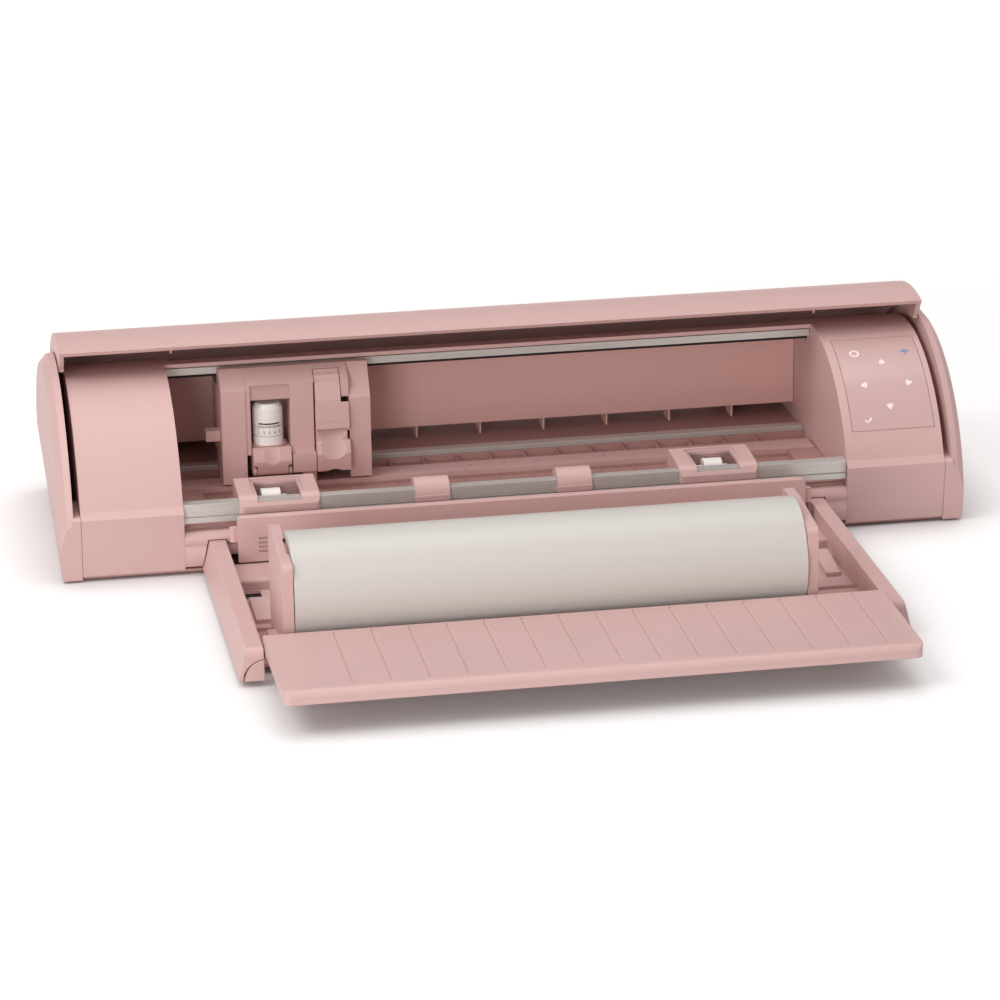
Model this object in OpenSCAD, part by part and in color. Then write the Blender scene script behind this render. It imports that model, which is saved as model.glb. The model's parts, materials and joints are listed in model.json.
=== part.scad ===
// Desktop vinyl cutter: hinged lid, tool carriage on two rails, pinch-roller feed
// and a pull-out drawer that carries a roll of film behind a fold-down door.
// Millimetres, +Z up, front towards -Y. The origin is on the floor, at the middle
// of the machine's footprint.

/* [Body] */
// Width of each end bay, between the work space and the slot of the lid
bay_w = 63; // [61:0.5:75]
// Depth of the machine, from front face to rear wall
body_d = 190; // [186:1:204]
// Thickness of each end cap
cap_w = 8.5; // [7:0.5:12]
// Width of the slot that the lid's side plate runs in
slot_w = 4.5; // [4:0.1:6]
// Wall thickness of the moulded covers
wall = 2.5; // [2:0.1:3]
// Radius of the curved front cover
arc_r = 101; // [99:0.5:103]
// Distance of the curve's centre behind the front face
arc_y = 93; // [91:0.5:95]
// Height of the curve's centre above the floor
arc_z = 6; // [5:0.5:8]
// Height of the ledge under the curve
ledge_z = 41; // [39:0.5:43]
// How far the ledge stands out in front of the front face
ledge_out = 5; // [3:0.5:7]
// How far the end caps' curve stands over the lid
cap_proud = 3.7; // [0:0.1:5]
// Height of the rubber feet
foot_h = 1.5; // [1:0.1:3]
// Radius of a rubber foot
foot_r = 8; // [6:0.5:12]
// Thickness of the base plate
plate_t = 1.8; // [1.5:0.1:2]

/* [Lid] */
// Gap between lid and curved cover
lid_gap = 1; // [0.8:0.1:1.5]
// Height of the lid's side plates
lid_side_h = 16; // [12:0.5:20]
// Height of the lid's front edge above the ledge's ridge
lid_edge = 1.6; // [0.8:0.1:2.4]
// Thickness of the lid
lid_t = 2.8; // [2:0.1:3.5]
// Angle at which the lid stands open
lid_open = 54; // [48:1:56]
// Distance of the lid's pivot behind the curve's centre
lid_pivot_y = 18; // [14:0.5:20]
// Height of the lid's pivot above the curve's centre
lid_pivot_z = 7; // [6:0.5:9]
// Radius of the lid's pivot pins
lid_pin_r = 3; // [2:0.1:4]
// Thickness of the lid's side plates
lid_side_t = 3; // [2.5:0.1:3.2]
// Angle of the lid's rear edge round the curve's centre
lid_rear_angle = 70; // [66:1:76]

/* [Feed] */
// Height of the surface that the film slides on
feed_z = 30; // [29:0.5:31]
// Depth of the pinch bar
bar_d = 7.5; // [6:0.5:9]
// Height of the pinch bar
bar_h = 12.5; // [11:0.5:14]
// Height of the feed gap under the pinch bar
feed_gap = 3; // [2.5:0.1:4]
// Distance of the drive shaft behind the front face
shaft_y = 24; // [23:0.5:26]
// Radius of the drive shaft's gripping length
shaft_r = 3.4; // [3:0.1:3.5]
// Radius of the drive shaft's journals
journal_r = 2.6; // [2.2:0.1:2.9]
// Radius of a pinch roller
pinch_r = 7.2; // [6.5:0.1:8]
// Width of a pinch roller
pinch_w = 12; // [8:0.5:14]
// Radius of a pinch roller's axle
pinch_axle_r = 1.5; // [1:0.1:2]
// Width of a pinch frame
frame_w = 50; // [44:1:54]
// Middle of the fixed left pinch frame
left_frame_x = -149.5; // [-155:0.5:-145]
// Middle of the sliding right pinch frame
right_frame_x = 126.5; // [110:0.5:140]
// Width of a bar clip
clip_w = 21.8; // [16:0.2:26]
// Middle of each bar clip
clip_x = [-54.5, 35]; // [-80:0.5:80]
// Teeth of the feed gear
gear_teeth = 36; // [30:2:38]
// Teeth of the motor pinion
pinion_teeth = 12; // [12:2:16]
// Module of both gears
gear_module = 1; // [0.8:0.1:1]
// Face width of the feed gear
gear_w = 5; // [4:0.5:6]

/* [Deck] */
// Distance of the platen strip behind the front face
platen_y = 77; // [76:0.5:79]
// Depth of the platen strip
platen_d = 18; // [14:0.5:19]
// Depth of the groove behind the platen strip
groove_d = 16; // [12:0.5:17]
// Pitch of the ribs in the trough and the groove
rib_pitch = 21.9; // [18:0.1:26]
// Thickness of a rib
rib_t = 1.2; // [0.8:0.1:2]
// Depth of the lower rail
low_rail_d = 8; // [6:0.5:10]
// Height of the lower rail above the film
low_rail_h = 3.3; // [2.5:0.1:3.5]
// Distance of the back wall behind the front face
back_y = 140; // [138:1:144]
// Height of the rear film slot
slot_h = 11; // [9:0.5:12]
// Pitch of the fins in the rear film slot
fin_pitch = 42; // [36:1:60]

/* [Carriage] */
// Gap between the left side frame and the parked carriage
park_gap = 33; // [22:0.5:40]
// Width of the carriage
carriage_w = 94.6; // [92:0.2:98]
// Distance of the carriage's front behind the front face
carriage_y = 75; // [74:0.5:76]
// Width of the carriage's left post
post_left_w = 15.5; // [13:0.5:16]
// Width of the carriage's right post
post_right_w = 13.6; // [12:0.2:15]
// Width of the bay of the first tool
bay_one_w = 25; // [24:0.5:26]
// Width of the post between the two tools
divider_w = 15; // [12:0.5:16]
// Radius of the first tool's white housing
housing_r = 9.7; // [8:0.1:10.2]
// Height of the first tool's white housing above its holder
housing_h = 28; // [22:0.5:29]
// Depth of the upper rail
up_rail_d = 8; // [6:0.5:9]
// Height of the upper rail
up_rail_h = 4.6; // [4:0.1:5]
// Radius at which the belt runs round its pulleys
belt_r = 4.5; // [4:0.1:5]
// Thickness of the belt
belt_t = 1.2; // [0.8:0.1:1.5]
// Width of the belt
belt_w = 4; // [3:0.5:4]

/* [Drawer] */
// Free space beside the roll support at each end
arm_room = 9.1; // [8:0.1:16]
// Thickness of an arm at its top
arm_t = 10; // [8:0.5:12]
// How much further out an arm's foot stands than its top
arm_flare = 4.5; // [0:0.5:5]
// Height of an arm's top above the floor
arm_z = 22.5; // [20:0.5:22.8]
// Distance of an arm's tip in front of the front face
arm_out = 197; // [190:1:210]
// Length of an arm inside the machine
arm_in = 60; // [40:1:80]
// Height of the drawer's cross beam above the floor
beam_z = 12; // [9:0.5:12]
// Thickness of the drawer's floor
tray_t = 1.8; // [1.5:0.1:2.2]
// Height of the film guide's top above the floor
guide_z = 42; // [38:0.5:44]
// Thickness of the film guide
guide_t = 5; // [4:0.5:6]
// Radius of the roll of film
roll_r = 33.5; // [28:0.5:34]
// Length of the roll of film
roll_l = 303; // [280:1:305]
// Middle of the roll of film
roll_x = -11.5; // [-14:0.5:0]
// Distance of the roll's axis in front of the front face
roll_out = 145; // [144:0.5:146]
// Height of the roll's axis above the floor
roll_z = 40; // [39.5:0.5:44]
// Outer radius of the cardboard core
core_r = 27; // [26:0.5:28]
// Bore radius of the cardboard core
core_bore_r = 25; // [22:0.1:25]
// Thickness of a roll support
support_t = 6.5; // [5:0.5:7]
// Height of a roll support's top above the floor
support_z = 69; // [66:0.5:72]
// Length of each hub inside the core
hub_l = 10; // [6:0.5:11]

/* [Door] */
// Gap between the door and each arm
door_gap = 1; // [0.8:0.1:4]
// Length of the door
door_l = 95; // [80:1:105]
// Thickness of the door
door_t = 8; // [6:0.5:8.5]
// Height of the door's upper face above the floor
door_z = 27; // [26:0.5:28]
// Number of grooves in the door
groove_count = 15; // [5:1:15]
// Pitch of the grooves in the door
groove_pitch = 21.9; // [18:0.1:22]
// Middle of the groove pattern
groove_x = 11; // [0:0.5:16]
// Radius of the door's hinge pins
door_pin_r = 2; // [1.5:0.1:2.5]

/* [Hidden] */

rose = "#d9a9a5";
rose_dark = "#b98a86";
film_white = "#e4e2dd";
metal = "#b9b4b0";
steel = "#8d8f92";
rubber_black = "#2a2a2a";

// Clearances between pieces
fit = 0.3;
run_fit = 0.05;
eps = 0.01;

// Main planes
front_y = -body_d / 2;
function back(distance) = front_y + distance;
rear_y = back(body_d);
support_gap = 0.4;
support_foot = 5;
arm_in_x = roll_l / 2 + abs(roll_x) + support_gap + support_t + support_foot + arm_room;
arm_half = arm_in_x + arm_t;
guide_x = arm_half + arm_flare + fit;
guide_half = arm_in_x - 6;
door_half = arm_in_x - door_gap;
opening_x = guide_x + wall + 7.7;
cover_x = opening_x + bay_w;
slot_out_x = cover_x + slot_w;
half_w = slot_out_x + cap_w;
floor_z = foot_h + plate_t;
ridge_z = ledge_z + 4;
arc_cy = back(arc_y);
lid_r = arc_r + lid_gap + lid_t;
inner_r = arc_r - wall;
pan_r = inner_r - 1.1;
pan_t = 1.2;
seam_y = back(arc_y + 2);
screw_x = opening_x + 8;
screw_y = [back(74), rear_y - 52];
foot_at = [
  [-half_w + 24, back(18)],
  [half_w - 24, back(18)],
  [-half_w + 24, rear_y - 22],
  [half_w - 24, rear_y - 22],
  [0, 0]
];

// Film path
bar_y = back(0.3);
bar_z = feed_z + feed_gap;
bar_top = bar_z + bar_h;
sill_z = feed_z - 2;
deck_z = feed_z - 0.8;
deck_low_z = arm_z + 1;
shaft_cy = back(shaft_y);
shaft_cz = feed_z - shaft_r;
pinch_cz = feed_z + fit + pinch_r;
groove_y = platen_y + platen_d;
low_rail_y = back(groove_y + groove_d + 1);
back_wall_y = back(back_y);

// Carriage
carriage_x = -opening_x + park_gap + carriage_w / 2;
carriage_l = carriage_x - carriage_w / 2;
carriage_r = carriage_x + carriage_w / 2;
carriage_front = back(carriage_y);
carriage_low = feed_z + 1.5;
carriage_rear = back(carriage_y + 50);
hood_y = back(carriage_y + 16);
hood_z = 104;
knee_left_z = 93;
knee_right_z = 84;
bay_one_x = carriage_l + post_left_w + 3;
divider_x = bay_one_x + bay_one_w;
bay_two_x = divider_x + divider_w;
bay_two_w = carriage_r - post_right_w - bay_two_x;
up_rail_y = back(carriage_y + 24);
up_rail_z = 98.2;
rail_rear = up_rail_y + up_rail_d;
belt_z = up_rail_z - 4.2;
belt_cy = rail_rear + 0.8 + belt_t + belt_r;
belt_out = belt_r + belt_t;
post_rear_z = belt_z - 4.5;
pulley_x = opening_x + 23;
housing_x = bay_one_x + bay_one_w / 2 - 0.8;
housing_y = back(carriage_y + 11);
housing_z = 54;
bay_rear = housing_y + housing_r + 1;
lever_one_y = carriage_front - 2.4;
lever_one_z = 40;
lever_two_y = hood_y - 9;
lever_two_z = hood_z - 7.5;
lever_slot_w = 17.4;

// Drawer and roll
tray_z = floor_z + fit;
roll_y = back(-roll_out);
support_l_x = roll_x - roll_l / 2 - support_gap;
support_r_x = roll_x + roll_l / 2 + support_gap;
door_axis_y = back(-arm_out + 7);
door_axis_z = arm_z - 3.3;
door_rear_y = door_axis_y + 7;
hub_r = core_bore_r - run_fit;

$fn = 64;

// ---------- helpers ----------

// A profile drawn in (y, z), extruded along X from x0 to x1
module along_x(x0, x1) {
  translate([x0, 0, 0])
    rotate([90, 0, 90])
      linear_extrude(x1 - x0)
        children();
}

// A straight round bar along X
module bar_x(x0, x1, y, z, r) {
  translate([x0, y, z])
    rotate([0, 90, 0])
      cylinder(h = x1 - x0, r = r);
}

// A box given by its low and high corners
module block(low, high) {
  translate(low)
    cube(high - low);
}

// A rounded rectangle given by its low and high corners
module round_rect(low, high, r) {
  for (x = [low[0] + r, high[0] - r], y = [low[1] + r, high[1] - r])
    translate([x, y])
      circle(r);
  translate([low[0] + r, low[1]])
    square([high[0] - low[0] - 2 * r, high[1] - low[1]]);
  translate([low[0], low[1] + r])
    square([high[0] - low[0], high[1] - low[1] - 2 * r]);
}

// The body's side profile in (y, z): ledge below, curve above, shrunk by inset
module body_profile(r, inset, low_z, cy = arc_cy) {
  ridge_y = cy - sqrt(r * r - pow(ridge_z - arc_z, 2));
  difference() {
    polygon([
      [back(inset), low_z],
      [back(inset - ledge_out * (ledge_z - low_z) / ledge_z), ledge_z - inset / 3],
      [ridge_y, ridge_z],
      [ridge_y, arc_z + r + 20],
      [rear_y - 1 - inset, arc_z + r + 20],
      [rear_y - 1 - inset, low_z]
    ]);
    // all that lies outside the curve, above the ridge
    difference() {
      translate([back(-40), ridge_z])
        square([body_d + 80, r + 60]);
      translate([cy, arc_z])
        circle(r, $fn = 128);
    }
  }
}

// A cutter along X that rounds an edge: the edge lies at (y, z), the body on its (sy, sz) side
module edge_round(x0, x1, y, z, r, sy, sz) {
  along_x(x0, x1)
    difference() {
      translate([y - (sy > 0 ? 1 : r), z - (sz > 0 ? 1 : r)])
        square(r + 1);
      translate([y + sy * r, z + sz * r])
        circle(r);
    }
}

// A cutter along Z that rounds an upright edge: the edge lies at (x, y), the body on its (sx, sy) side
module post_round(z0, z1, x, y, r, sx, sy) {
  translate([0, 0, z0])
    linear_extrude(z1 - z0)
      difference() {
        translate([x - (sx > 0 ? 1 : r), y - (sy > 0 ? 1 : r)])
          square(r + 1);
        translate([x + sx * r, y + sy * r])
          circle(r);
      }
}

// ---------- base ----------

// Outline of the base plate, which narrows towards the rear; grown by a margin
module plate_outline(margin) {
  front_x = half_w - cap_w / 2 + margin;
  rear_x = slot_out_x + 0.6 + margin;
  polygon([
    [-front_x, back(2.8) - margin],
    [front_x, back(2.8) - margin],
    [rear_x, rear_y - 4 + margin],
    [-rear_x, rear_y - 4 + margin]
  ]);
}

module base_plate() {
  color(rose_dark) {
    difference() {
      union() {
        translate([0, 0, foot_h])
          linear_extrude(plate_t)
            plate_outline(0);
        // guide walls of the drawer, which also carry the feed deck
        for (s = [-1, 1])
          block(
            [min(s * guide_x, s * (guide_x + wall)), back(9.5), floor_z - eps],
            [max(s * guide_x, s * (guide_x + wall)), rear_y - 6, deck_low_z - fit]
          );
      }
      for (at = foot_at)
        translate([at[0], at[1], foot_h - eps])
          cylinder(h = 0.8, r = foot_r + 0.2);
      for (x = [-screw_x, screw_x], y = screw_y)
        translate([x, y, foot_h - eps])
          cylinder(h = plate_t + 1, r = 1.6);
      // passage of the drive shaft
      bar_x(-guide_x - 9, guide_x + 9, shaft_cy, shaft_cz, journal_r + 1);
    }
  }
}

module rubber_feet() {
  color(rubber_black)
    for (at = foot_at)
      translate([at[0], at[1], 0]) {
        cylinder(h = 0.6, r1 = foot_r - 0.8, r2 = foot_r);
        translate([0, 0, 0.6 - eps])
          cylinder(h = foot_h + 0.1, r = foot_r);
      }
}

module case_screws() {
  color(steel)
    for (x = [-screw_x, screw_x], y = screw_y)
      translate([x, y, foot_h - 0.6]) {
        difference() {
          cylinder(h = 0.6, r = 3);
          translate([0, 0, -eps])
            cylinder(h = 0.4, r = 1.2, $fn = 6);
        }
        cylinder(h = plate_t + 6, r = 1.5);
      }
}

// ---------- end caps ----------

module end_cap_shape() {
  cap_r = lid_r + cap_proud;
  cap_cy = arc_cy + 6;
  low_line = 6;
  difference() {
    // lower front, which closes the slot under the ledge
    along_x(cover_x + 0.15, slot_out_x + 1)
      intersection() {
        body_profile(arc_r, 0, foot_h);
        translate([back(-ledge_out - 5), 0])
          square([ledge_out + 35, ridge_z - 2]);
      }
    translate([0, 0, foot_h - 1])
      linear_extrude(plate_t + fit + 1)
        plate_outline(fit);
  }
  difference() {
    intersection() {
      along_x(slot_out_x, half_w)
        body_profile(cap_r, 0, foot_h, cap_cy);
      // crowned rim
      translate([slot_out_x - eps, cap_cy, arc_z])
        rotate([0, 90, 0]) {
          cylinder(h = cap_w * 0.5, r1 = cap_r, r2 = cap_r - 1);
          translate([0, 0, cap_w * 0.5 - eps])
            cylinder(h = cap_w, r1 = cap_r - 1, r2 = cap_r - 11);
        }
    }
    // undercut below a line from the low front corner up to the rear
    translate([half_w, front_y, low_line])
      rotate([atan((ridge_z - low_line) / body_d), 0, 0])
        rotate([0, atan(6 / 40), 0])
          translate([0, -60, -100])
            cube([20, body_d + 120, 100]);
    // chamfer of the upright front edge
    translate([half_w - 2.6, back(-6), 0])
      rotate(45)
        translate([-6, -8, -1])
          cube([12, 8, ledge_z + 4]);
    // seat on the base plate
    translate([0, 0, foot_h - 1])
      linear_extrude(plate_t + fit + 1)
        plate_outline(fit);
    // bore of the lid's pivot pin
    bar_x(slot_out_x - 1, slot_out_x + 4, arc_cy + lid_pivot_y, arc_z + lid_pivot_z, lid_pin_r + run_fit);
  }
}

module left_end_cap() {
  color(rose)
    mirror([1, 0, 0])
      end_cap_shape();
}

module right_end_cap() {
  color(rose)
    end_cap_shape();
}

module lid_pins() {
  color(steel)
    for (s = [-1, 1])
      bar_x(
        s > 0 ? cover_x - 4 : -slot_out_x - 3.6,
        s > 0 ? slot_out_x + 3.6 : -cover_x + 4,
        arc_cy + lid_pivot_y, arc_z + lid_pivot_z, lid_pin_r
      );
}

// ---------- front covers ----------

module cover_shape() {
  difference() {
    along_x(opening_x, cover_x)
      intersection() {
        body_profile(arc_r, 0, floor_z + fit);
        translate([back(-40), 0])
          square([seam_y - back(-40), 200]);
      }
    along_x(opening_x - 1, cover_x - wall)
      intersection() {
        body_profile(inner_r, wall, 0);
        translate([back(-40), 0])
          square([seam_y + 1 - back(-40), 200]);
      }
  }
}

panel_x0 = opening_x + 6;
panel_x1 = cover_x - 4;
panel_top = 105;
panel_low = 147;
panel_t = 1;

// The curved sector that the touch panel fills, grown by a margin
module panel_sector(r0, r1, margin) {
  along_x(panel_x0 - margin, panel_x1 + margin)
    intersection() {
      translate([arc_cy, arc_z])
        difference() {
          circle(r1, $fn = 128);
          circle(r0, $fn = 128);
        }
      translate([arc_cy, arc_z])
        polygon([
          [0, 0],
          [200 * cos(panel_top - margin / 2), 200 * sin(panel_top - margin / 2)],
          [200 * cos(126), 200 * sin(126)],
          [200 * cos(panel_low + margin / 2), 200 * sin(panel_low + margin / 2)]
        ]);
    }
}

module left_front_cover() {
  color(rose)
    mirror([1, 0, 0])
      cover_shape();
}

module right_front_cover() {
  color(rose)
    difference() {
      cover_shape();
      panel_sector(arc_r - panel_t, arc_r + 2, 0.25);
    }
}

module touch_panel() {
  color(rose_dark)
    panel_sector(arc_r - panel_t + 0.1, arc_r - 0.05, 0);
}

// ---------- side frames ----------

module side_frame_shape() {
  difference() {
    union() {
      along_x(opening_x + fit, opening_x + fit + wall)
        body_profile(inner_r - fit, wall + fit, floor_z + fit);
      // lugs for the case screws
      for (y = screw_y)
        block([opening_x + fit + wall - eps, y - 5, floor_z + fit], [screw_x + 4.5, y + 5, floor_z + 6.5]);
    }
    for (y = screw_y)
      translate([screw_x, y, 0])
        cylinder(h = floor_z + 5.6, r = 1.52);
    // windows of the belt and of the drive shaft
    block(
      [opening_x - 1, belt_cy - belt_out - 1, belt_z - 1],
      [opening_x + 10, belt_cy + belt_out + 1, belt_z + belt_w + 1]
    );
    bar_x(opening_x - 1, opening_x + 10, shaft_cy, shaft_cz, journal_r + 2 + run_fit);
  }
}

module left_side_frame() {
  color(rose)
    mirror([1, 0, 0])
      side_frame_shape();
}

module right_side_frame() {
  color(rose)
    side_frame_shape();
}

module shaft_bearings() {
  color(metal)
    for (s = [0, 1])
      mirror([s, 0, 0])
        difference() {
          union() {
            bar_x(opening_x + 0.6, opening_x + fit + wall, shaft_cy, shaft_cz, journal_r + 2);
            bar_x(opening_x + fit + wall, opening_x + fit + wall + 1.2, shaft_cy, shaft_cz, journal_r + 3.4);
          }
          bar_x(opening_x - 1, opening_x + 12, shaft_cy, shaft_cz, journal_r + run_fit);
        }
}

// ---------- rear shell ----------

module rear_shell() {
  color(rose)
    difference() {
      along_x(-cover_x, cover_x)
        intersection() {
          body_profile(arc_r, 0, floor_z + fit);
          translate([seam_y + fit, 0])
            square([200, 200]);
        }
      along_x(-cover_x + wall, cover_x - wall)
        intersection() {
          body_profile(inner_r, wall, 0);
          translate([seam_y - 1, 0])
            square([200, 200]);
        }
      // the open front between the covers and the frames
      block([-cover_x + wall, seam_y - 1, 0], [cover_x - wall, seam_y + wall, inner_r + arc_z - 6]);
      // rear film slot
      block([-roll_l / 2 - 12, rear_y - 30, feed_z + 0.6], [roll_l / 2 + 12, rear_y + 20, feed_z + 8]);
      // openings of the power and data sockets
      block([-cover_x + 22, rear_y - 10, floor_z + 9], [-cover_x + 34, rear_y + 10, floor_z + 19]);
      block([-cover_x + 44, rear_y - 10, floor_z + 10], [-cover_x + 57, rear_y + 10, floor_z + 19]);
      // bores of the lid's pivot pins
      bar_x(-cover_x - 1, cover_x + 1, arc_cy + lid_pivot_y, arc_z + lid_pivot_z, lid_pin_r + run_fit);
      // long recess in the roof behind the lip
      block([-opening_x + 4, rail_rear + 1, 90], [opening_x - 14, rail_rear + 35, 120]);
    }
  // pan of the recess
  color(rose_dark)
    intersection() {
      block([-opening_x + 2, rail_rear + fit, 80], [opening_x - 12, rail_rear + 37, 120]);
      union() {
        along_x(-opening_x, opening_x)
          translate([arc_cy, arc_z])
            difference() {
              circle(pan_r, $fn = 128);
              circle(pan_r - pan_t, $fn = 128);
            }
        difference() {
          along_x(-opening_x, opening_x)
            translate([arc_cy, arc_z])
              difference() {
                circle(inner_r + 0.5, $fn = 128);
                circle(pan_r - 0.5, $fn = 128);
              }
          block([-opening_x + 4, rail_rear + 1, 80], [opening_x - 14, rail_rear + 35, 120]);
        }
      }
    }
}

slot_top = feed_z + slot_h;

module back_wall() {
  top = arc_z + sqrt(pow(pan_r - pan_t - fit, 2) - pow(back_wall_y + 2 - arc_cy, 2));
  color(rose_dark) {
    block([-opening_x, back_wall_y, slot_top], [opening_x, back_wall_y + 2, top]);
    block([-opening_x, back_wall_y + 2 - eps, slot_top], [opening_x, back_wall_y + 18, slot_top + 3]);
    // fins of the rear film slot
    for (i = [-4 : 4])
      block(
        [i * fin_pitch - rib_t / 2, back_wall_y + 3, feed_z + 2.5],
        [i * fin_pitch + rib_t / 2, back_wall_y + 17, slot_top + eps]
      );
  }
}

module rear_sockets() {
  color(rubber_black) {
    difference() {
      block(
        [-cover_x + 22 + fit, rear_y - 14, floor_z + 9 + fit],
        [-cover_x + 34 - fit, rear_y - 1.4, floor_z + 19 - fit]
      );
      translate([-cover_x + 28, rear_y + 1, floor_z + 14])
        rotate([90, 0, 0])
          cylinder(h = 10, r = 3);
    }
    translate([-cover_x + 28, rear_y - 3, floor_z + 14])
      rotate([90, 0, 0])
        cylinder(h = 7, r = 0.8);
  }
  color(metal)
    difference() {
      block(
        [-cover_x + 44 + fit, rear_y - 16, floor_z + 10 + fit],
        [-cover_x + 57 - fit, rear_y - 1.4, floor_z + 19 - fit]
      );
      block([-cover_x + 45.2, rear_y - 12, floor_z + 11.2], [-cover_x + 55.8, rear_y + 1, floor_z + 17.8]);
    }
}

// ---------- feed deck ----------

module feed_deck() {
  rib_n = floor((opening_x - 12) / rib_pitch);
  platen_low = feed_z - 3.4;
  channel_x = arm_in_x - 1.4;
  channel_low = shaft_cz - shaft_r - 3;
  pocket_x = opening_x - 19;
  pocket_y = shaft_cy + shaft_r + 3.2;
  pocket_z = deck_low_z + 1.2;
  color(rose_dark)
    difference() {
      union() {
        difference() {
          along_x(-opening_x, opening_x)
            polygon([
              [back(9), deck_low_z],
              [back(9), deck_z],
              [back(platen_y) - fit, deck_z],
              [back(platen_y) - fit, platen_low],
              [low_rail_y - 1, platen_low],
              [low_rail_y - 1, feed_z],
              [rear_y - 6, feed_z],
              [rear_y - 6, deck_low_z]
            ]);
          // trough between the shaft and the platen
          block([-pocket_x, pocket_y - eps, pocket_z], [pocket_x, back(platen_y) - fit + eps, 50]);
        }
        // ribs of the trough and of the groove
        for (i = [-rib_n : rib_n]) {
          block(
            [i * rib_pitch - rib_t / 2, pocket_y - eps, pocket_z - eps],
            [i * rib_pitch + rib_t / 2, back(platen_y) - fit + eps, pocket_z + 0.8]
          );
          block(
            [i * rib_pitch - rib_t / 2, back(groove_y) + fit, platen_low - eps],
            [i * rib_pitch + rib_t / 2, low_rail_y - 1 + eps, feed_z - 0.4]
          );
        }
        // walls and floor of the channel round the shaft
        block([-channel_x, shaft_cy - shaft_r - 3.2, channel_low], [channel_x, pocket_y, deck_z]);
      }
      block(
        [-channel_x - eps, shaft_cy - shaft_r - 1.2, channel_low + 2],
        [channel_x + eps, shaft_cy + shaft_r + 1.2, 50]
      );
      // slots of the journals
      for (s = [0, 1])
        mirror([s, 0, 0])
          block(
            [channel_x - eps, shaft_cy - journal_r - 1, 0],
            [opening_x + 1, shaft_cy + journal_r + 1, 50]
          );
    }
}

module platen_strip() {
  dot_n = floor((opening_x - 14) / rib_pitch);
  color(rose)
    difference() {
      block(
        [-opening_x + 1, back(platen_y), feed_z - 3.4],
        [opening_x - 1, back(groove_y), feed_z]
      );
      for (i = [-dot_n : dot_n])
        translate([i * rib_pitch + 6, back(platen_y + platen_d * 0.6), feed_z - 0.8])
          cylinder(h = 1, r = 1.1, $fn = 24);
    }
}

module front_sill() {
  color(rose)
    difference() {
      along_x(-opening_x, opening_x)
        union() {
          translate([back(2), sill_z - 5])
            circle(5);
          translate([back(1.4), sill_z - 7])
            square([7.3, 7]);
          // lower face, bowed out to the front
          intersection() {
            translate([back(11.2), 13.5])
              circle(14);
            translate([back(-4), tray_z + 2])
              square([12.7, sill_z - 6 - tray_z]);
          }
        }
      // the drawer passes under the sill
      block([-arm_in_x - 0.6, back(-20), 0], [arm_in_x + 0.6, back(20), beam_z + 0.8]);
      for (s = [-1, 1])
        along_y_arm(s, 0.6, -20, 20);
    }
}

// The space that an arm of the drawer sweeps, grown by a margin
module along_y_arm(s, margin, from, to) {
  translate([0, back(to), 0])
    rotate([90, 0, 0])
      linear_extrude(to - from)
        polygon([
          [s * (arm_in_x - margin), -1],
          [s * (arm_in_x - margin), arm_z + margin],
          [s * (arm_half + margin), arm_z + margin],
          [s * (arm_half + arm_flare + margin), tray_z - margin],
          [s * (arm_half + arm_flare + margin), -1]
        ]);
}

module film_guide() {
  front = back(-19);
  low = beam_z + fit + 0.2;
  color(rose)
    difference() {
      union() {
        along_x(-guide_half, guide_half)
          polygon([
            [front, low],
            [front, guide_z - 1],
            [front + 1, guide_z],
            [front + guide_t - 1, guide_z],
            [front + guide_t, guide_z - 1],
            [front + guide_t, low + 8],
            [front + 2.6, low + 8],
            [front + 2.6, low]
          ]);
        // feet that tie the guide to the sill
        for (i = [-3 : 3])
          block([i * 56 - 3, front + guide_t - eps, low + 8], [i * 56 + 3, back(-2.9) - fit, sill_z - 4]);
        // rounded end posts
        for (s = [-1, 1])
          translate([s * (guide_half + 2), front + guide_t, 25])
            cylinder(h = 9, r = 2.6);
        for (s = [-1, 1])
          block(
            [min(s * guide_half, s * (guide_half + 2)) - eps, front + 2.7, 25],
            [max(s * guide_half, s * (guide_half + 2)) + eps, front + guide_t, 34]
          );
      }
      // louvred slots near both ends
      for (s = [-1, 1], i = [0 : 3])
        block(
          [s * (guide_half - 16) - 3, front - 1, low + 6 + i * 2.8],
          [s * (guide_half - 16) + 3, front + 1.2, low + 7.4 + i * 2.8]
        );
      // rounded upper corners
      for (s = [-1, 1])
        translate([0, front + guide_t + 1, 0])
          rotate([90, 0, 0])
            linear_extrude(guide_t + 2)
              difference() {
                translate([s > 0 ? guide_half - 4 : -guide_half - 1, guide_z - 4])
                  square(5);
                translate([s * (guide_half - 4), guide_z - 4])
                  circle(4);
              }
    }
}

// ---------- pinch bar ----------

module pinch_bar() {
  color(metal)
    along_x(-opening_x, opening_x)
      difference() {
        union() {
          translate([bar_y, bar_z + 0.6])
            square([bar_d, bar_h - 0.6]);
          translate([bar_y + 0.6, bar_z])
            square([bar_d - 0.6, 2]);
        }
        translate([bar_y - 1, bar_z + 3.9])
          square([2, 0.8]);
        translate([bar_y + 3, bar_z + 6])
          square([bar_d, 3]);
      }
}

module bar_clips() {
  r = 10;
  centre_y = bar_y + 7.9;
  top = bar_top + 5;
  lip_z = bar_z + 5;
  color(rose)
    for (x = clip_x)
      difference() {
        along_x(x - clip_w / 2, x + clip_w / 2)
          intersection() {
            union() {
              translate([centre_y, top - r])
                circle(r);
              translate([bar_y - 2.8, lip_z])
                square([6, 3.5]);
            }
            translate([bar_y - 5, lip_z])
              square([40, 20]);
          }
        // channel that grips the bar
        block([x - clip_w, bar_y - 0.1, 0], [x + clip_w, bar_y + bar_d + 0.1, bar_top + 0.1]);
        block(
          [x - clip_w / 2 + 2, bar_y + bar_d + 2, 0],
          [x + clip_w / 2 - 2, centre_y + r - 2.4, top - 3.4]
        );
      }
}

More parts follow.
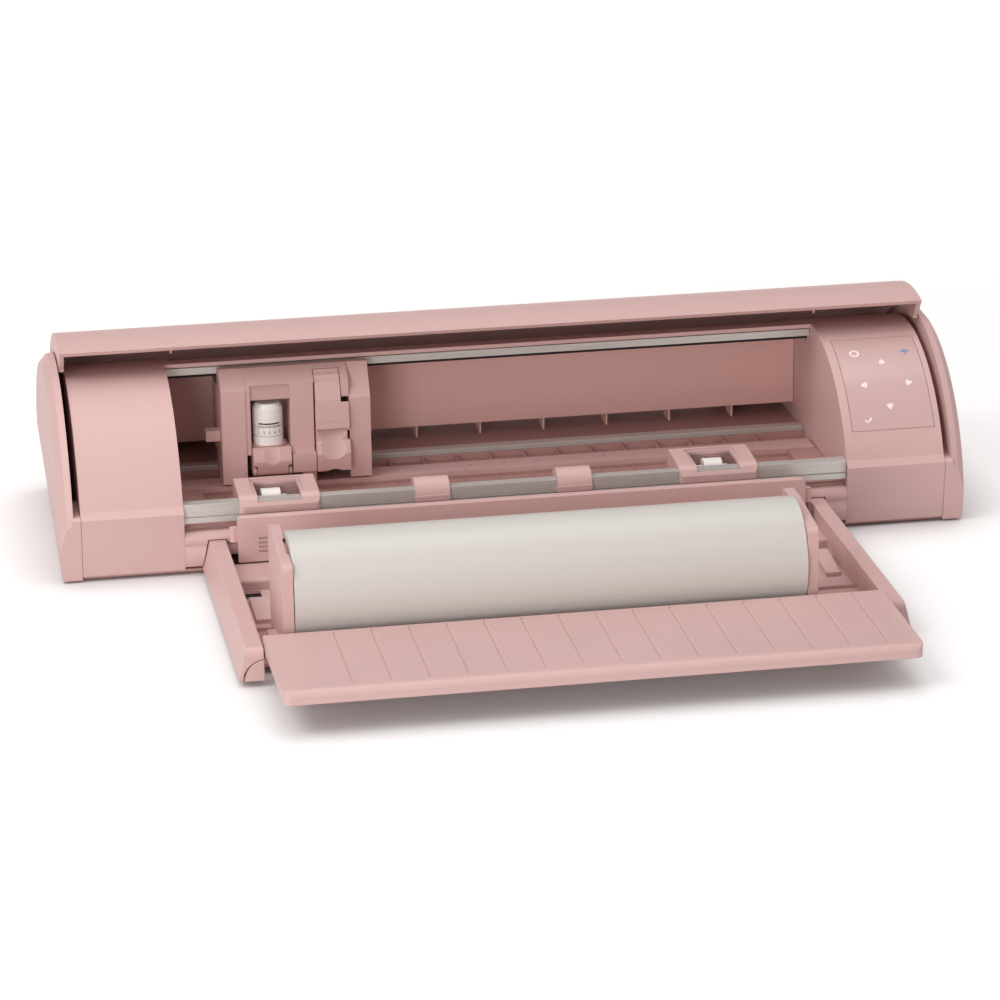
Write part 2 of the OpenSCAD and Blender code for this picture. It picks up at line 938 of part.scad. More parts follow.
// A frame that hangs on the pinch bar and holds a roller behind it
module pinch_frame_shape(x) {
  w = frame_w / 2;
  rear = shaft_cy + pinch_r + 4;
  front = bar_y - 2.8;
  axle_top = bar_top + 4;
  difference() {
    union() {
      along_x(x - w, x + w)
        difference() {
          polygon([
            [front, bar_z + 5],
            [front, bar_top - 3],
            [front + 2.2, bar_top + 0.8],
            [front + 6, bar_top + 2.6],
            [rear - 2, axle_top],
            [rear, axle_top - 2],
            [rear, feed_z + 4],
            [rear - 4, feed_z + 1.6],
            [bar_y + bar_d + fit, feed_z + 3.4],
            [bar_y + bar_d + fit, bar_z + 5]
          ]);
          translate([bar_y - fit, 0])
            square([bar_d + 2 * fit, bar_top + fit]);
        }
    }
    // hollow behind the bar, between the two cheeks
    block([x - w + 5, bar_y + bar_d + 1.5, 0], [x + w - 5, rear - 3, bar_top + 0.4]);
    // window, with a wider recess round it
    block([x - w + 11.5, bar_y + 1.5, bar_top - 4], [x + w - 11.5, rear - 6, 70]);
    block([x - w + 11.5, bar_y - 10, bar_top - 1], [x + w - 11.5, rear - 6, 70]);
    block([x - w + 9.5, bar_y - 10, bar_top + 2.6], [x + w - 9.5, rear - 4, 70]);
    // softened ends
    for (s = [-1, 1])
      post_round(bar_z, 70, x + s * w, front, 2.4, -s, 1);
    // axle bore
    bar_x(x - w - 1, x + w + 1, shaft_cy, pinch_cz, pinch_axle_r + run_fit);
  }
}

module left_pinch_frame() {
  color(rose)
    pinch_frame_shape(left_frame_x);
}

module right_pinch_frame() {
  color(rose)
    pinch_frame_shape(right_frame_x);
}

module pinch_roller_shape(x) {
  difference() {
    union() {
      bar_x(x - pinch_w / 2, x + pinch_w / 2, shaft_cy, pinch_cz, pinch_r);
      bar_x(x - pinch_w / 2 - 4, x + pinch_w / 2 + 4, shaft_cy, pinch_cz, pinch_axle_r + 1.5);
    }
    bar_x(x - pinch_w, x + pinch_w, shaft_cy, pinch_cz, pinch_axle_r + run_fit);
  }
}

module left_pinch_roller() {
  color("#f0efec")
    pinch_roller_shape(left_frame_x - 3);
}

module right_pinch_roller() {
  color("#f0efec")
    pinch_roller_shape(right_frame_x + 1);
}

module left_pinch_axle() {
  color(steel)
    bar_x(left_frame_x - frame_w / 2 + 1, left_frame_x + frame_w / 2 - 1, shaft_cy, pinch_cz, pinch_axle_r);
}

module right_pinch_axle() {
  color(steel)
    bar_x(right_frame_x - frame_w / 2 + 1, right_frame_x + frame_w / 2 - 1, shaft_cy, pinch_cz, pinch_axle_r);
}

// ---------- feed drive ----------

gear_r = gear_teeth * gear_module / 2;
pinion_r = pinion_teeth * gear_module / 2;
gear_x = opening_x + 8;
motor_y = shaft_cy + gear_r + pinion_r;

// Spur gear outline: tapered teeth round a root circle, one tooth centred on +u
module gear_outline(teeth, backlash) {
  m = gear_module;
  r = teeth * m / 2;
  root = r - 1.2 * m;
  tip = r + 0.9 * m;
  half_pitch = 90 / teeth;
  circle(root, $fn = 64);
  for (i = [0 : teeth - 1])
    rotate(i * 360 / teeth)
      polygon([
        [root - 0.5, -(root * sin(half_pitch * 1.35) - backlash)],
        [r, -(r * sin(half_pitch * 0.9) - backlash)],
        [tip, -(tip * sin(half_pitch * 0.45) - backlash / 2)],
        [tip, tip * sin(half_pitch * 0.45) - backlash / 2],
        [r, r * sin(half_pitch * 0.9) - backlash],
        [root - 0.5, root * sin(half_pitch * 1.35) - backlash]
      ]);
}

module drive_shaft() {
  color(steel) {
    bar_x(-arm_in_x + 2.4, arm_in_x - 2.4, shaft_cy, shaft_cz, shaft_r);
    bar_x(-opening_x - 8, gear_x + gear_w + 2, shaft_cy, shaft_cz, journal_r);
  }
}

module feed_gear() {
  color("#e8e4dc")
    translate([0, shaft_cy, shaft_cz])
      difference() {
        union() {
          along_x(gear_x, gear_x + gear_w)
            gear_outline(gear_teeth, 0.12);
          bar_x(gear_x - 2, gear_x + gear_w, 0, 0, journal_r + 2.5);
        }
        bar_x(gear_x - 4, gear_x + gear_w + 1, 0, 0, journal_r + 0.02);
        for (a = [0 : 60 : 300])
          rotate([a, 0, 0])
            bar_x(gear_x - 1, gear_x + gear_w + 1, gear_r * 0.62, 0, gear_r * 0.17);
      }
}

module motor_pinion() {
  color(metal)
    translate([0, motor_y, shaft_cz])
      difference() {
        along_x(gear_x - 0.5, gear_x + gear_w + 0.5)
          rotate(180 + 180 / pinion_teeth)
            gear_outline(pinion_teeth, 0.12);
        bar_x(gear_x - 2, gear_x + gear_w + 2, 0, 0, 1.5 + run_fit);
      }
}

module feed_motor() {
  body_x = gear_x + gear_w + 5;
  color(steel)
    translate([0, motor_y, shaft_cz]) {
      bar_x(body_x, body_x + 30, 0, 0, 16);
      bar_x(body_x - 2, body_x, 0, 0, 6);
      bar_x(gear_x - 1.5, body_x, 0, 0, 1.5);
      along_x(body_x, body_x + 2)
        difference() {
          round_rect([-21, -12], [21, 12], 5);
          for (u = [-18, 18])
            translate([u, 0])
              circle(1.6);
        }
      block([body_x + 4, -14, -shaft_cz + floor_z + fit], [body_x + 26, 14, -10]);
    }
}

// ---------- upper and lower rails ----------

module upper_rail() {
  color(metal)
    along_x(-opening_x, opening_x)
      difference() {
        translate([up_rail_y, up_rail_z])
          square([up_rail_d, up_rail_h]);
        translate([up_rail_y + up_rail_d - 2, up_rail_z + up_rail_h / 2 - 1])
          square([3, 2]);
      }
}

module lower_rail() {
  color(metal)
    along_x(-opening_x, opening_x)
      polygon([
        [low_rail_y, feed_z + 0.1],
        [low_rail_y, feed_z + low_rail_h - 0.4],
        [low_rail_y + 0.4, feed_z + low_rail_h],
        [low_rail_y + low_rail_d, feed_z + low_rail_h],
        [low_rail_y + low_rail_d, feed_z + 0.1]
      ]);
}

// ---------- carriage drive ----------

module carriage_belt() {
  color(rubber_black)
    translate([0, belt_cy, belt_z])
      linear_extrude(belt_w)
        difference() {
          union() {
            for (s = [-1, 1])
              translate([s * pulley_x, 0])
                circle(belt_out);
            translate([-pulley_x, -belt_out])
              square([2 * pulley_x, 2 * belt_out]);
          }
          for (s = [-1, 1])
            translate([s * pulley_x, 0])
              circle(belt_r);
          translate([-pulley_x, -belt_r])
            square([2 * pulley_x, 2 * belt_r]);
        }
}

module pulley_shape(x) {
  translate([x, belt_cy, belt_z])
    difference() {
      union() {
        cylinder(h = belt_w, r = belt_r - fit);
        translate([0, 0, -1.3])
          cylinder(h = 1, r = belt_out + 0.6);
        translate([0, 0, -1.3])
          cylinder(h = 2, r = belt_r - 1);
      }
      // teeth spaces
      for (a = [0 : 36 : 324])
        rotate(a)
          translate([belt_r - fit, 0, -fit])
            cylinder(h = belt_w + 1, r = 0.5, $fn = 24);
      translate([0, 0, -3])
        cylinder(h = 12, r = 1.5 + run_fit);
    }
}

module drive_pulley() {
  color(metal)
    pulley_shape(-pulley_x);
}

module idler_pulley() {
  color(metal)
    pulley_shape(pulley_x);
}

module carriage_motor() {
  top = belt_z - 3;
  color(steel) {
    translate([-pulley_x, belt_cy, top - 30])
      cylinder(h = 30, r = 16);
    translate([-pulley_x, belt_cy, top - eps])
      cylinder(h = belt_w + 2.5, r = 1.5);
    translate([-pulley_x, belt_cy, top - 2])
      linear_extrude(2)
        round_rect([-18, -18], [18, 18], 4);
    block([-pulley_x - 10, belt_cy - 10, floor_z + fit], [-pulley_x + 10, belt_cy + 10, top - 30 + eps]);
  }
}

module idler_bracket() {
  top = belt_z - 1.6;
  color(steel)
    difference() {
      union() {
        block([pulley_x - 12, belt_cy - 12, top - 3], [pulley_x + 12, belt_cy + 12, top]);
        block([pulley_x + 9, belt_cy - 12, floor_z + fit], [pulley_x + 12, belt_cy + 12, top]);
        block([pulley_x - 12, belt_cy - 12, floor_z + fit], [pulley_x + 12, belt_cy + 12, floor_z + 3]);
        translate([pulley_x, belt_cy, top - eps])
          cylinder(h = belt_w + 1.6, r = 1.5);
      }
      for (y = [-7, 7])
        translate([pulley_x - 4, belt_cy + y, 0])
          cylinder(h = 20, r = 1.7);
    }
}

module control_board() {
  low = floor_z + 8;
  x0 = -cover_x + 8;
  color("#2f6b3f")
    difference() {
      block([x0, back(16), low], [-opening_x - 8, back(88), low + 1.6]);
      for (x = [x0 + 4, -opening_x - 12], y = [back(20), back(84)])
        translate([x, y, low - 1])
          cylinder(h = 4, r = 1.6);
    }
  color(rubber_black) {
    block([x0 + 12, back(34), low + 1.6], [x0 + 26, back(48), low + 3.2]);
    block([x0 + 30, back(58), low + 1.6], [x0 + 38, back(70), low + 3]);
    block([x0 + 8, back(62), low + 1.6], [x0 + 16, back(78), low + 9]);
  }
  color(metal)
    for (x = [x0 + 4, -opening_x - 12], y = [back(20), back(84)])
      translate([x, y, floor_z + 0.1])
        difference() {
          cylinder(h = low - floor_z - 0.1, r = 3);
          translate([0, 0, 2])
            cylinder(h = 10, r = 1.2);
        }
}

// ---------- lid ----------

// The lid's side plate, closed: a curved skirt and the arm down to the pivot
module lid_side_profile() {
  pivot = [arc_cy + lid_pivot_y, arc_z + lid_pivot_z];
  low_r = lid_r - lid_side_h;
  corner = 7;
  corner_a = 180 - asin((ridge_z + lid_edge - arc_z) / lid_r) - atan(corner / lid_r);
  difference() {
    intersection() {
      translate([arc_cy, arc_z])
        circle(lid_r, $fn = 128);
      polygon([
        [arc_cy, arc_z],
        [arc_cy + 240 * cos(corner_a), arc_z + 240 * sin(corner_a)],
        [arc_cy - 240, 240],
        [arc_cy + 40, 240],
        [arc_cy + 240 * cos(lid_rear_angle), arc_z + 240 * sin(lid_rear_angle)]
      ]);
    }
    translate([arc_cy, arc_z])
      circle(low_r, $fn = 128);
  }
  // rounded front corner of the skirt
  intersection() {
    translate([arc_cy, arc_z])
      circle(lid_r, $fn = 128);
    translate([arc_cy, arc_z])
      rotate(corner_a)
        union() {
          translate([low_r + corner, 0])
            circle(corner);
          translate([low_r + corner, -1])
            square([lid_r - low_r, corner + 1]);
        }
    translate([arc_cy - 240, ridge_z + lid_edge])
      square([300, 200]);
  }
  polygon([
    pivot + [-7, 0],
    [arc_cy + (low_r + 1) * cos(98), arc_z + (low_r + 1) * sin(98)],
    [arc_cy + (low_r + 1) * cos(lid_rear_angle + 4), arc_z + (low_r + 1) * sin(lid_rear_angle + 4)],
    pivot + [7, 0]
  ]);
  translate(pivot)
    circle(7);
}

// The lid's skin, closed
module lid_skin_profile(r0, r1, rear_angle) {
  intersection() {
    translate([arc_cy, arc_z])
      difference() {
        circle(r1, $fn = 128);
        circle(r0, $fn = 128);
      }
    polygon([
      [arc_cy, ridge_z + lid_edge],
      [arc_cy - 240, ridge_z + lid_edge],
      [arc_cy - 240, 240],
      [arc_cy + 40, 240],
      [arc_cy + 240 * cos(rear_angle), arc_z + 240 * sin(rear_angle)],
      [arc_cy, arc_z]
    ]);
  }
}

module lid() {
  py = arc_cy + lid_pivot_y;
  pz = arc_z + lid_pivot_z;
  side_x = cover_x + (slot_w - lid_side_t) / 2;
  color(rose)
    translate([0, py, pz])
      rotate([-lid_open, 0, 0])
        translate([0, -py, -pz])
          difference() {
            union() {
              along_x(-side_x - lid_side_t, side_x + lid_side_t)
                lid_skin_profile(lid_r - lid_t, lid_r, lid_rear_angle);
              along_x(side_x, side_x + lid_side_t)
                lid_side_profile();
              along_x(-side_x - lid_side_t, -side_x)
                lid_side_profile();
              // stiffening ribs behind the front edge, which close beside the side frames
              for (x = [-opening_x + 3, opening_x - 3])
                along_x(x - 0.6, x + 0.6)
                  intersection() {
                    translate([arc_cy, arc_z])
                      difference() {
                        circle(lid_r - lid_t + 0.5, $fn = 128);
                        circle(lid_r - lid_t - 4, $fn = 128);
                      }
                    translate([arc_cy - 200, ridge_z + lid_edge + 1.5])
                      square([200, 16]);
                  }
            }
            bar_x(-half_w, half_w, py, pz, lid_pin_r + run_fit);
          }
}

// ---------- carriage ----------

// Side profile of a post whose upper front face slopes back from a knee
module post_profile(knee_z) {
  polygon([
    [carriage_front, carriage_low],
    [carriage_front, knee_z],
    [hood_y - 3, hood_z],
    [hood_y + 2.4, hood_z],
    [up_rail_y - fit, up_rail_z],
    [up_rail_y - fit, post_rear_z],
    [carriage_rear, post_rear_z],
    [carriage_rear, feed_z + 14],
    [low_rail_y - 1, feed_z + 14],
    [low_rail_y - 1, carriage_low]
  ]);
}

module carriage_body() {
  plate_z = 85.5;
  right_x = carriage_r - post_right_w;
  color(rose)
    difference() {
      union() {
        along_x(carriage_l, carriage_l + post_left_w)
          post_profile(knee_left_z);
        along_x(right_x, carriage_r)
          post_profile(knee_right_z);
        // rear of the hood, over both tools
        along_x(carriage_l + post_left_w - eps, right_x + eps)
          polygon([
            [bay_rear, 60],
            [bay_rear, 85],
            [hood_y + 2, 85],
            [hood_y + 2, hood_z],
            [up_rail_y - fit, up_rail_z],
            [up_rail_y - fit, post_rear_z],
            [carriage_rear - 8, post_rear_z],
            [carriage_rear - 8, 60]
          ]);
        // sloping front of the hood
        along_x(carriage_l + post_left_w - eps, right_x + eps)
          polygon([
            [carriage_front + 0.6, 95.5],
            [hood_y - 3, hood_z],
            [hood_y + 2.4, hood_z],
            [hood_y + 2.4, 84],
            [carriage_front + 7, 84],
            [carriage_front + 6, 95]
          ]);
        // recessed plate over the first tool, which leaves a gap under it
        block(
          [carriage_l + post_left_w - eps, carriage_front + 2.2, plate_z],
          [divider_x + eps, carriage_front + 8, 96]
        );
        // side walls of the first tool's bay
        block(
          [carriage_l + post_left_w - eps, carriage_front + 0.6, 50],
          [bay_one_x, hood_y + 3, 95.6]
        );
        block([divider_x, carriage_front + 0.6, 50], [bay_two_x, hood_y + 3, 95.6]);
        // strip of the hood beside the second tool's lever
        block([bay_two_x + lever_slot_w, carriage_front + 0.6, 85], [right_x + eps, hood_y, 95.6]);
        // small block under the divider and the rib below it
        block([divider_x + 0.4, carriage_front - 5, 38.5], [bay_two_x + 0.4, carriage_front + 8, 50.5]);
        block([divider_x + 7, carriage_front - 3, carriage_low], [bay_two_x + 0.4, carriage_front + 6, 39]);
        // floor of the tool bays
        block([bay_one_x - 4, hood_y + 8, feed_z + 16], [bay_two_x + bay_two_w + 1, carriage_rear - 8, 62]);
        // side peg
        block([carriage_l - 9, carriage_front + 12, 57], [carriage_l + 2, carriage_front + 20, 64]);
      }
      // bore of the second lever's pin
      bar_x(bay_two_x - 3, bay_two_x + 20.5, lever_two_y, lever_two_z, 1.02);
      // slot of the second tool's lever in the hood, and the round room for its end
      block([bay_two_x + 0.6, carriage_front - 1, 80], [bay_two_x + lever_slot_w, hood_y - 6.2, 110]);
      bar_x(bay_two_x + 0.6, bay_two_x + lever_slot_w, lever_two_y, lever_two_z, 5.6);
      // softened upper edges of the posts
      edge_round(carriage_l - 1, carriage_r + 1, hood_y + 2.4, hood_z, 1.5, -1, -1);
    }
}

module carriage_slider() {
  front_run = belt_cy - belt_out;
  jaw_z = feed_z + low_rail_h + fit;
  color(rose_dark) {
    // jaw over the lower rail
    difference() {
      block(
        [carriage_l + 6, low_rail_y - fit - 0.6, feed_z + 1],
        [carriage_r - 6, low_rail_y + low_rail_d + fit + 2, feed_z + 14]
      );
      block(
        [carriage_l, low_rail_y - fit, feed_z - 1],
        [carriage_r, low_rail_y + low_rail_d + fit, jaw_z]
      );
    }
    // shoe under the upper rail, with the clamp round the belt's front run
    difference() {
      block(
        [carriage_x - 14, up_rail_y + 1, post_rear_z],
        [carriage_x + 14, front_run + belt_t + 2.4, up_rail_z - fit]
      );
      block(
        [carriage_x - 15, front_run - fit, belt_z - fit],
        [carriage_x + 15, front_run + belt_t + fit, up_rail_z + 1]
      );
    }
  }
}

module tool_one_holder() {
  x0 = bay_one_x + fit;
  x1 = divider_x - fit;
  color(rose)
    difference() {
      union() {
        block([x0, carriage_front + 0.8, 37], [x1, hood_y + 8 - fit, housing_z]);
        translate([housing_x, housing_y, 37])
          cylinder(h = housing_z - 37 + 1.5, r = housing_r + 2);
        // lugs of the lever's pin
        for (x = [x0, x1 - 2])
          along_x(x, x + 2)
            union() {
              translate([lever_one_y, lever_one_z])
                circle(2.6);
              translate([lever_one_y, lever_one_z - 2.6])
                square([3.4, 5.2]);
            }
      }
      translate([housing_x, housing_y, 41])
        cylinder(h = 40, r = housing_r + run_fit);
      translate([housing_x, housing_y, 30])
        cylinder(h = 20, r = 4);
      bar_x(x0 - 1, x1 + 1, lever_one_y, lever_one_z, 1.22);
      block([x0 + 2, carriage_front - 20, 30], [x1 - 2, carriage_front + 0.8, 70]);
      block([x0 - 5, carriage_front - 20, 44], [x1 + 5, carriage_front + 0.8, 70]);
    }
}

module tool_one_pin() {
  color(steel)
    bar_x(bay_one_x + 0.6, divider_x - 0.6, lever_one_y, lever_one_z, 1.2);
}

module tool_two_pin() {
  color(steel)
    bar_x(bay_two_x - 2.5, bay_two_x + 20, lever_two_y, lever_two_z, 1);
}

module tool_one_lever() {
  x0 = bay_one_x + 0.4;
  x1 = divider_x - 0.4;
  rear = carriage_front + 0.5;
  color(rose)
    difference() {
      union() {
        along_x(x0 + 2.3, x1 - 2.3)
          union() {
            translate([lever_one_y, lever_one_z])
              circle(2.6);
            polygon([
              [rear, lever_one_z],
              [lever_one_y - 2.6, lever_one_z],
              [carriage_front - 5.8, 44.5],
              [rear, 44.5]
            ]);
          }
        along_x(x0, x1)
          polygon([
            [rear, 44.2],
            [carriage_front - 5.7, 44.2],
            [carriage_front - 6, 47],
            [carriage_front - 3.4, housing_z + 1],
            [carriage_front - 1.6, housing_z + 1.4],
            [rear, housing_z - 3]
          ]);
      }
      translate([(x0 + x1) / 2, carriage_front - 18, housing_z + 2])
        rotate([-18, 0, 0])
          cylinder(h = 40, r = 15, center = true);
      translate([housing_x, housing_y, 50])
        cylinder(h = 20, r = housing_r + 2.4);
      bar_x(x0, x1, lever_one_y, lever_one_z, 1.2 + run_fit);
    }
}

module blade_housing() {
  color("#f4f3f1")
    translate([housing_x, housing_y, 0]) {
      difference() {
        union() {
          translate([0, 0, 41.2])
            cylinder(h = housing_z + housing_h - 3 - 41.2, r = housing_r);
          translate([0, 0, housing_z + housing_h - 3 - eps])
            cylinder(h = 3, r1 = housing_r, r2 = housing_r - 2.2);
        }
        translate([0, 0, 40])
          cylinder(h = 12, r = 3 + run_fit);
        // ring groove over the scale
        translate([0, 0, housing_z + 13])
          difference() {
            cylinder(h = 0.8, r = housing_r + 1);
            cylinder(h = 0.8, r = housing_r - 0.4);
          }
      }
    }
}

module blade_tip() {
  color(metal)
    translate([housing_x, housing_y, 0]) {
      translate([0, 0, 35.4])
        cylinder(h = 14, r = 3);
      translate([0, 0, 34])
        cylinder(h = 1.42, r1 = 1.2, r2 = 3);
    }
}

module tool_two_holder() {
  x0 = bay_two_x + fit;
  x1 = bay_two_x + bay_two_w - fit;
  xm = (x0 + x1) / 2;
  color(rose)
    difference() {
      block([x0, carriage_front + 8, 37], [x1, hood_y + 8 - fit, 58]);
      translate([xm, housing_y + 4, 30])
        cylinder(h = 40, r = 5.5);
    }
}

module tool_two_lever() {
  x0 = bay_two_x + 0.8;
  x1 = bay_two_x + bay_two_w - 0.4;
  top_x1 = bay_two_x + lever_slot_w - 0.4;
  shoulder_z = 82.5;
  xm = (x0 + x1) / 2;
  half = (x1 - x0) / 2;
  color(rose)
    difference() {
      union() {
        // narrow upper part, which turns on the pin
        along_x(x0 + 0.2, top_x1)
          difference() {
            union() {
              polygon([
                [carriage_front - 3.4, 70],
                [carriage_front - 2, 84],
                [carriage_front + 2.2, 95],
                [lever_two_y + 1.8, lever_two_z + 5],
                [lever_two_y + 3, lever_two_z + 3],
                [carriage_front + 6.4, 90],
                [carriage_front + 1.4, 80],
                [carriage_front + 1, 70]
              ]);
              translate([lever_two_y, lever_two_z])
                circle(3);
            }
            translate([lever_two_y, lever_two_z])
              circle(1 + run_fit);
          }
        // wide part in front of the tool
        along_x(x0, x1)
          polygon([
            [carriage_front - 3, 42],
            [carriage_front - 3.6, 66],
            [carriage_front - 2.3, shoulder_z],
            [carriage_front + 1.2, shoulder_z - 4],
            [carriage_front + 0.4, 42]
          ]);
        // finger end
        along_x(x0, x1)
          polygon([
            [carriage_front + 0.4, 37],
            [carriage_front - 6.5, 38.5],
            [carriage_front - 8, 50],
            [carriage_front - 5.4, 56.5],
            [carriage_front - 3.4, 57.5],
            [carriage_front + 0.4, 57.5]
          ]);
      }
      // concave finger end and scoop
      translate([xm, carriage_front - 4, 30])
        rotate([90, 0, 0])
          cylinder(h = 30, r = half * 0.9, center = true);
      translate([xm, carriage_front - 20, 56])
        rotate([-24, 0, 0])
          cylinder(h = 30, r = 15.4, center = true);
      // small relief in the right edge
      block([x1 - 1.6, carriage_front - 10, 57.5], [x1 + 1, carriage_front + 5, 64]);
    }
}

// ---------- drawer ----------

module drawer_frame() {
  floor_top = tray_z + tray_t;
  inner = arm_in_x;
  floor_front = roll_y - roll_r + 3;
  color(rose)
    difference() {
      union() {
        for (s = [-1, 1]) {
          translate([0, back(arm_in), 0])
            rotate([90, 0, 0])
              linear_extrude(arm_in + arm_out - 2)
                polygon([
                  [s * inner, tray_z],
                  [s * inner, arm_z],
                  [s * (arm_half - 0.6), arm_z],
                  [s * arm_half, arm_z - 0.6],
                  [s * (arm_half + arm_flare), tray_z]
                ]);
        }
        // floor under the roll
        block([-inner - eps, floor_front, tray_z], [inner + eps, back(-20), floor_top]);
        // cross beam
        block([-inner - eps, back(-50), tray_z], [inner + eps, back(-20), beam_z]);
        // raised blocks beside the floor's openings
        block([-inner + 6, roll_y + roll_r + 3, floor_top - eps], [-inner + 21, back(-69), floor_top + 2.6]);
        along_x(inner - 13, inner - 4)
          polygon([
            [roll_y + roll_r + 12, floor_top - eps],
            [roll_y + roll_r + 12, floor_top + 2.6],
            [back(-67), beam_z],
            [back(-67), floor_top - eps]
          ]);
        // two ribs that the roll supports slide along
        for (y = [roll_y - 20, roll_y + 24])
          block([-inner - eps, y, floor_top - eps], [inner + eps, y + 2, floor_top + 2]);
      }
      // hollow of the cross beam, open below
      block([-inner + 3, back(-47), tray_z - 1], [inner - 3, back(-23), beam_z - 2]);
      // openings in the floor at both ends
      for (s = [-1, 1])
        block(
          [min(s * (inner - 3), s * (inner - 15)), back(-66), 0],
          [max(s * (inner - 3), s * (inner - 15)), back(-51), floor_top + 1]
        );
      // rounded ends of the arms and of the beam
      edge_round(-arm_half - 9, arm_half + 9, back(-arm_out + 2), arm_z, 4.5, 1, -1);
      edge_round(-inner, inner, back(-50), beam_z, 2, 1, -1);
      // arched notch of each hinge cap
      for (s = [-1, 1])
        translate([s * (inner - 1), back(-arm_out + 9), tray_z - 1])
          rotate([90, 0, 0])
            linear_extrude(20)
              intersection() {
                circle(13.5);
                translate([s > 0 ? 0 : -20, 0])
                  square([20, 20]);
              }
      // bores of the door's hinge pins
      bar_x(-inner - 8, inner + 8, door_axis_y, door_axis_z, door_pin_r + 0.02);
    }
}

module hinge_caps() {
  inner = arm_in_x;
  color(rose)
    for (s = [-1, 1])
      translate([s * (inner - 1), back(-arm_out + 8.7), tray_z])
        rotate([90, 0, 0])
          linear_extrude(8.2)
            intersection() {
              circle(12.1);
              translate([s > 0 ? 1 : -21, 0])
                square([20, 20]);
            }
}

module door_pins() {
  color(steel)
    for (s = [-1, 1])
      bar_x(
        s > 0 ? arm_in_x - 7 : -arm_in_x - 7,
        s > 0 ? arm_in_x + 7 : -arm_in_x + 7,
        door_axis_y, door_axis_z, door_pin_r
      );
}

module door() {
  low = door_z - door_t;
  front = door_rear_y - door_l;
  groove_l = door_l * 0.9;
  color(rose)
    difference() {
      union() {
        block([-door_half, front, low], [door_half, door_rear_y, door_z]);
        // hinge knuckles
        for (s = [-1, 1])
          along_x(s > 0 ? door_half - 8 : -door_half, s > 0 ? door_half : -door_half + 8)
            union() {
              translate([door_axis_y, door_axis_z])
                circle(4.5);
              translate([door_axis_y - 4.5, door_axis_z])
                square([9, low - door_axis_z + 1]);
            }
      }
      // rounded edges and corners
      edge_round(-door_half - 1, door_half + 1, front, door_z, 4, 1, -1);
      edge_round(-door_half - 1, door_half + 1, door_rear_y, door_z, 3, -1, -1);
      for (s = [-1, 1])
        post_round(low - 1, door_z + 1, s * door_half, front, 5, -s, 1);
      // hollow underside
      block([-door_half + 10, front + 4, low - 1], [door_half - 10, door_rear_y - 13, door_z - 3]);
      for (i = [0 : groove_count - 1])
        translate([groove_x + (i - (groove_count - 1) / 2) * groove_pitch, door_rear_y - 5, door_z + 0.5])
          rotate([90, 0, 0])
            cylinder(h = groove_l - 4, r = 1.1, $fn = 24);
      bar_x(-door_half - 1, door_half + 1, door_axis_y, door_axis_z, door_pin_r + run_fit);
    }
}

// A roll support, with its inner face at x = 0 and its outer face at x = -support_t
module support_shape() {
  foot = tray_z + tray_t + fit;
  rear = roll_y + roll_r + 1;
  front = roll_y - roll_r + 3.5;
  difference() {
    union() {
      along_x(-support_t, 0)
        difference() {
          polygon([
            [front, foot],
            [front, support_z - 5],
            [front + 46, support_z],
            [rear, support_z],
            [rear, foot]
          ]);
          // the foot straddles the sliding ribs
          for (y = [roll_y - 20, roll_y + 24])
            translate([y - fit, foot - 1])
              square([2 + 2 * fit, 3.2]);
        }
      // stiffening foot on the outside
      block([-support_t - support_foot, roll_y - 12, foot], [-support_t + eps, roll_y + 12, foot + 5]);
    }
    // rounded corners
    edge_round(-support_t - 1, 1, front, support_z - 4.6, 4, 1, -1);
    edge_round(-support_t - 1, 1, rear, support_z, 3.5, -1, -1);
    // weight-saving pocket in the inner face, round the hub
    bar_x(-1.2, 1, roll_y, roll_z, core_r + 2);
  }
}

module left_roll_support() {
  color(rose)
    translate([support_l_x, 0, 0])
      support_shape();
}

module right_roll_support() {
  color(rose)
    translate([support_r_x, 0, 0])
      mirror([1, 0, 0])
        support_shape();
}

module hub_shape() {
  difference() {
    union() {
      bar_x(-1.15, hub_l, roll_y, roll_z, hub_r);
      bar_x(-1.15, 0.2, roll_y, roll_z, core_r - 0.4);
    }
    bar_x(1, hub_l + 1, roll_y, roll_z, hub_r - 3);
  }
}

module left_hub() {
  color(rose_dark)
    translate([support_l_x, 0, 0])
      hub_shape();
}

module right_hub() {
  color(rose_dark)
    translate([support_r_x, 0, 0])
      mirror([1, 0, 0])
        hub_shape();
}

module roll_core() {
  color("#b08d62")
    difference() {
      bar_x(roll_x - roll_l / 2, roll_x + roll_l / 2, roll_y, roll_z, core_r);
      bar_x(roll_x - roll_l, roll_x + roll_l, roll_y, roll_z, core_bore_r);
    }
}

module film_roll() {
  color(film_white)
    difference() {
      bar_x(roll_x - roll_l / 2, roll_x + roll_l / 2, roll_y, roll_z, roll_r);
      bar_x(roll_x - roll_l, roll_x + roll_l, roll_y, roll_z, core_r);
    }
}

base_plate();
rubber_feet();
left_end_cap();
right_end_cap();
left_front_cover();
right_front_cover();
touch_panel();
left_side_frame();
right_side_frame();
rear_shell();
back_wall();
feed_deck();
platen_strip();
front_sill();
film_guide();
pinch_bar();
bar_clips();
left_pinch_frame();
upper_rail();
lower_rail();
carriage_belt();
carriage_motor();
idler_bracket();
feed_motor();
control_board();
rear_sockets();
shaft_bearings();
lid_pins();
case_screws();
lid();
drive_shaft();
feed_gear();
motor_pinion();
drive_pulley();
idler_pulley();
left_pinch_roller();
left_pinch_axle();
right_pinch_frame();
right_pinch_roller();
right_pinch_axle();
carriage_body();
carriage_slider();
tool_one_holder();
tool_one_pin();
tool_one_lever();
blade_housing();
blade_tip();
tool_two_holder();
tool_two_pin();
tool_two_lever();
drawer_frame();
hinge_caps();
door_pins();
door();
left_roll_support();
right_roll_support();
left_hub();
right_hub();
roll_core();
film_roll();
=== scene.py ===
import json
import math
import bpy
from mathutils import Matrix, Vector


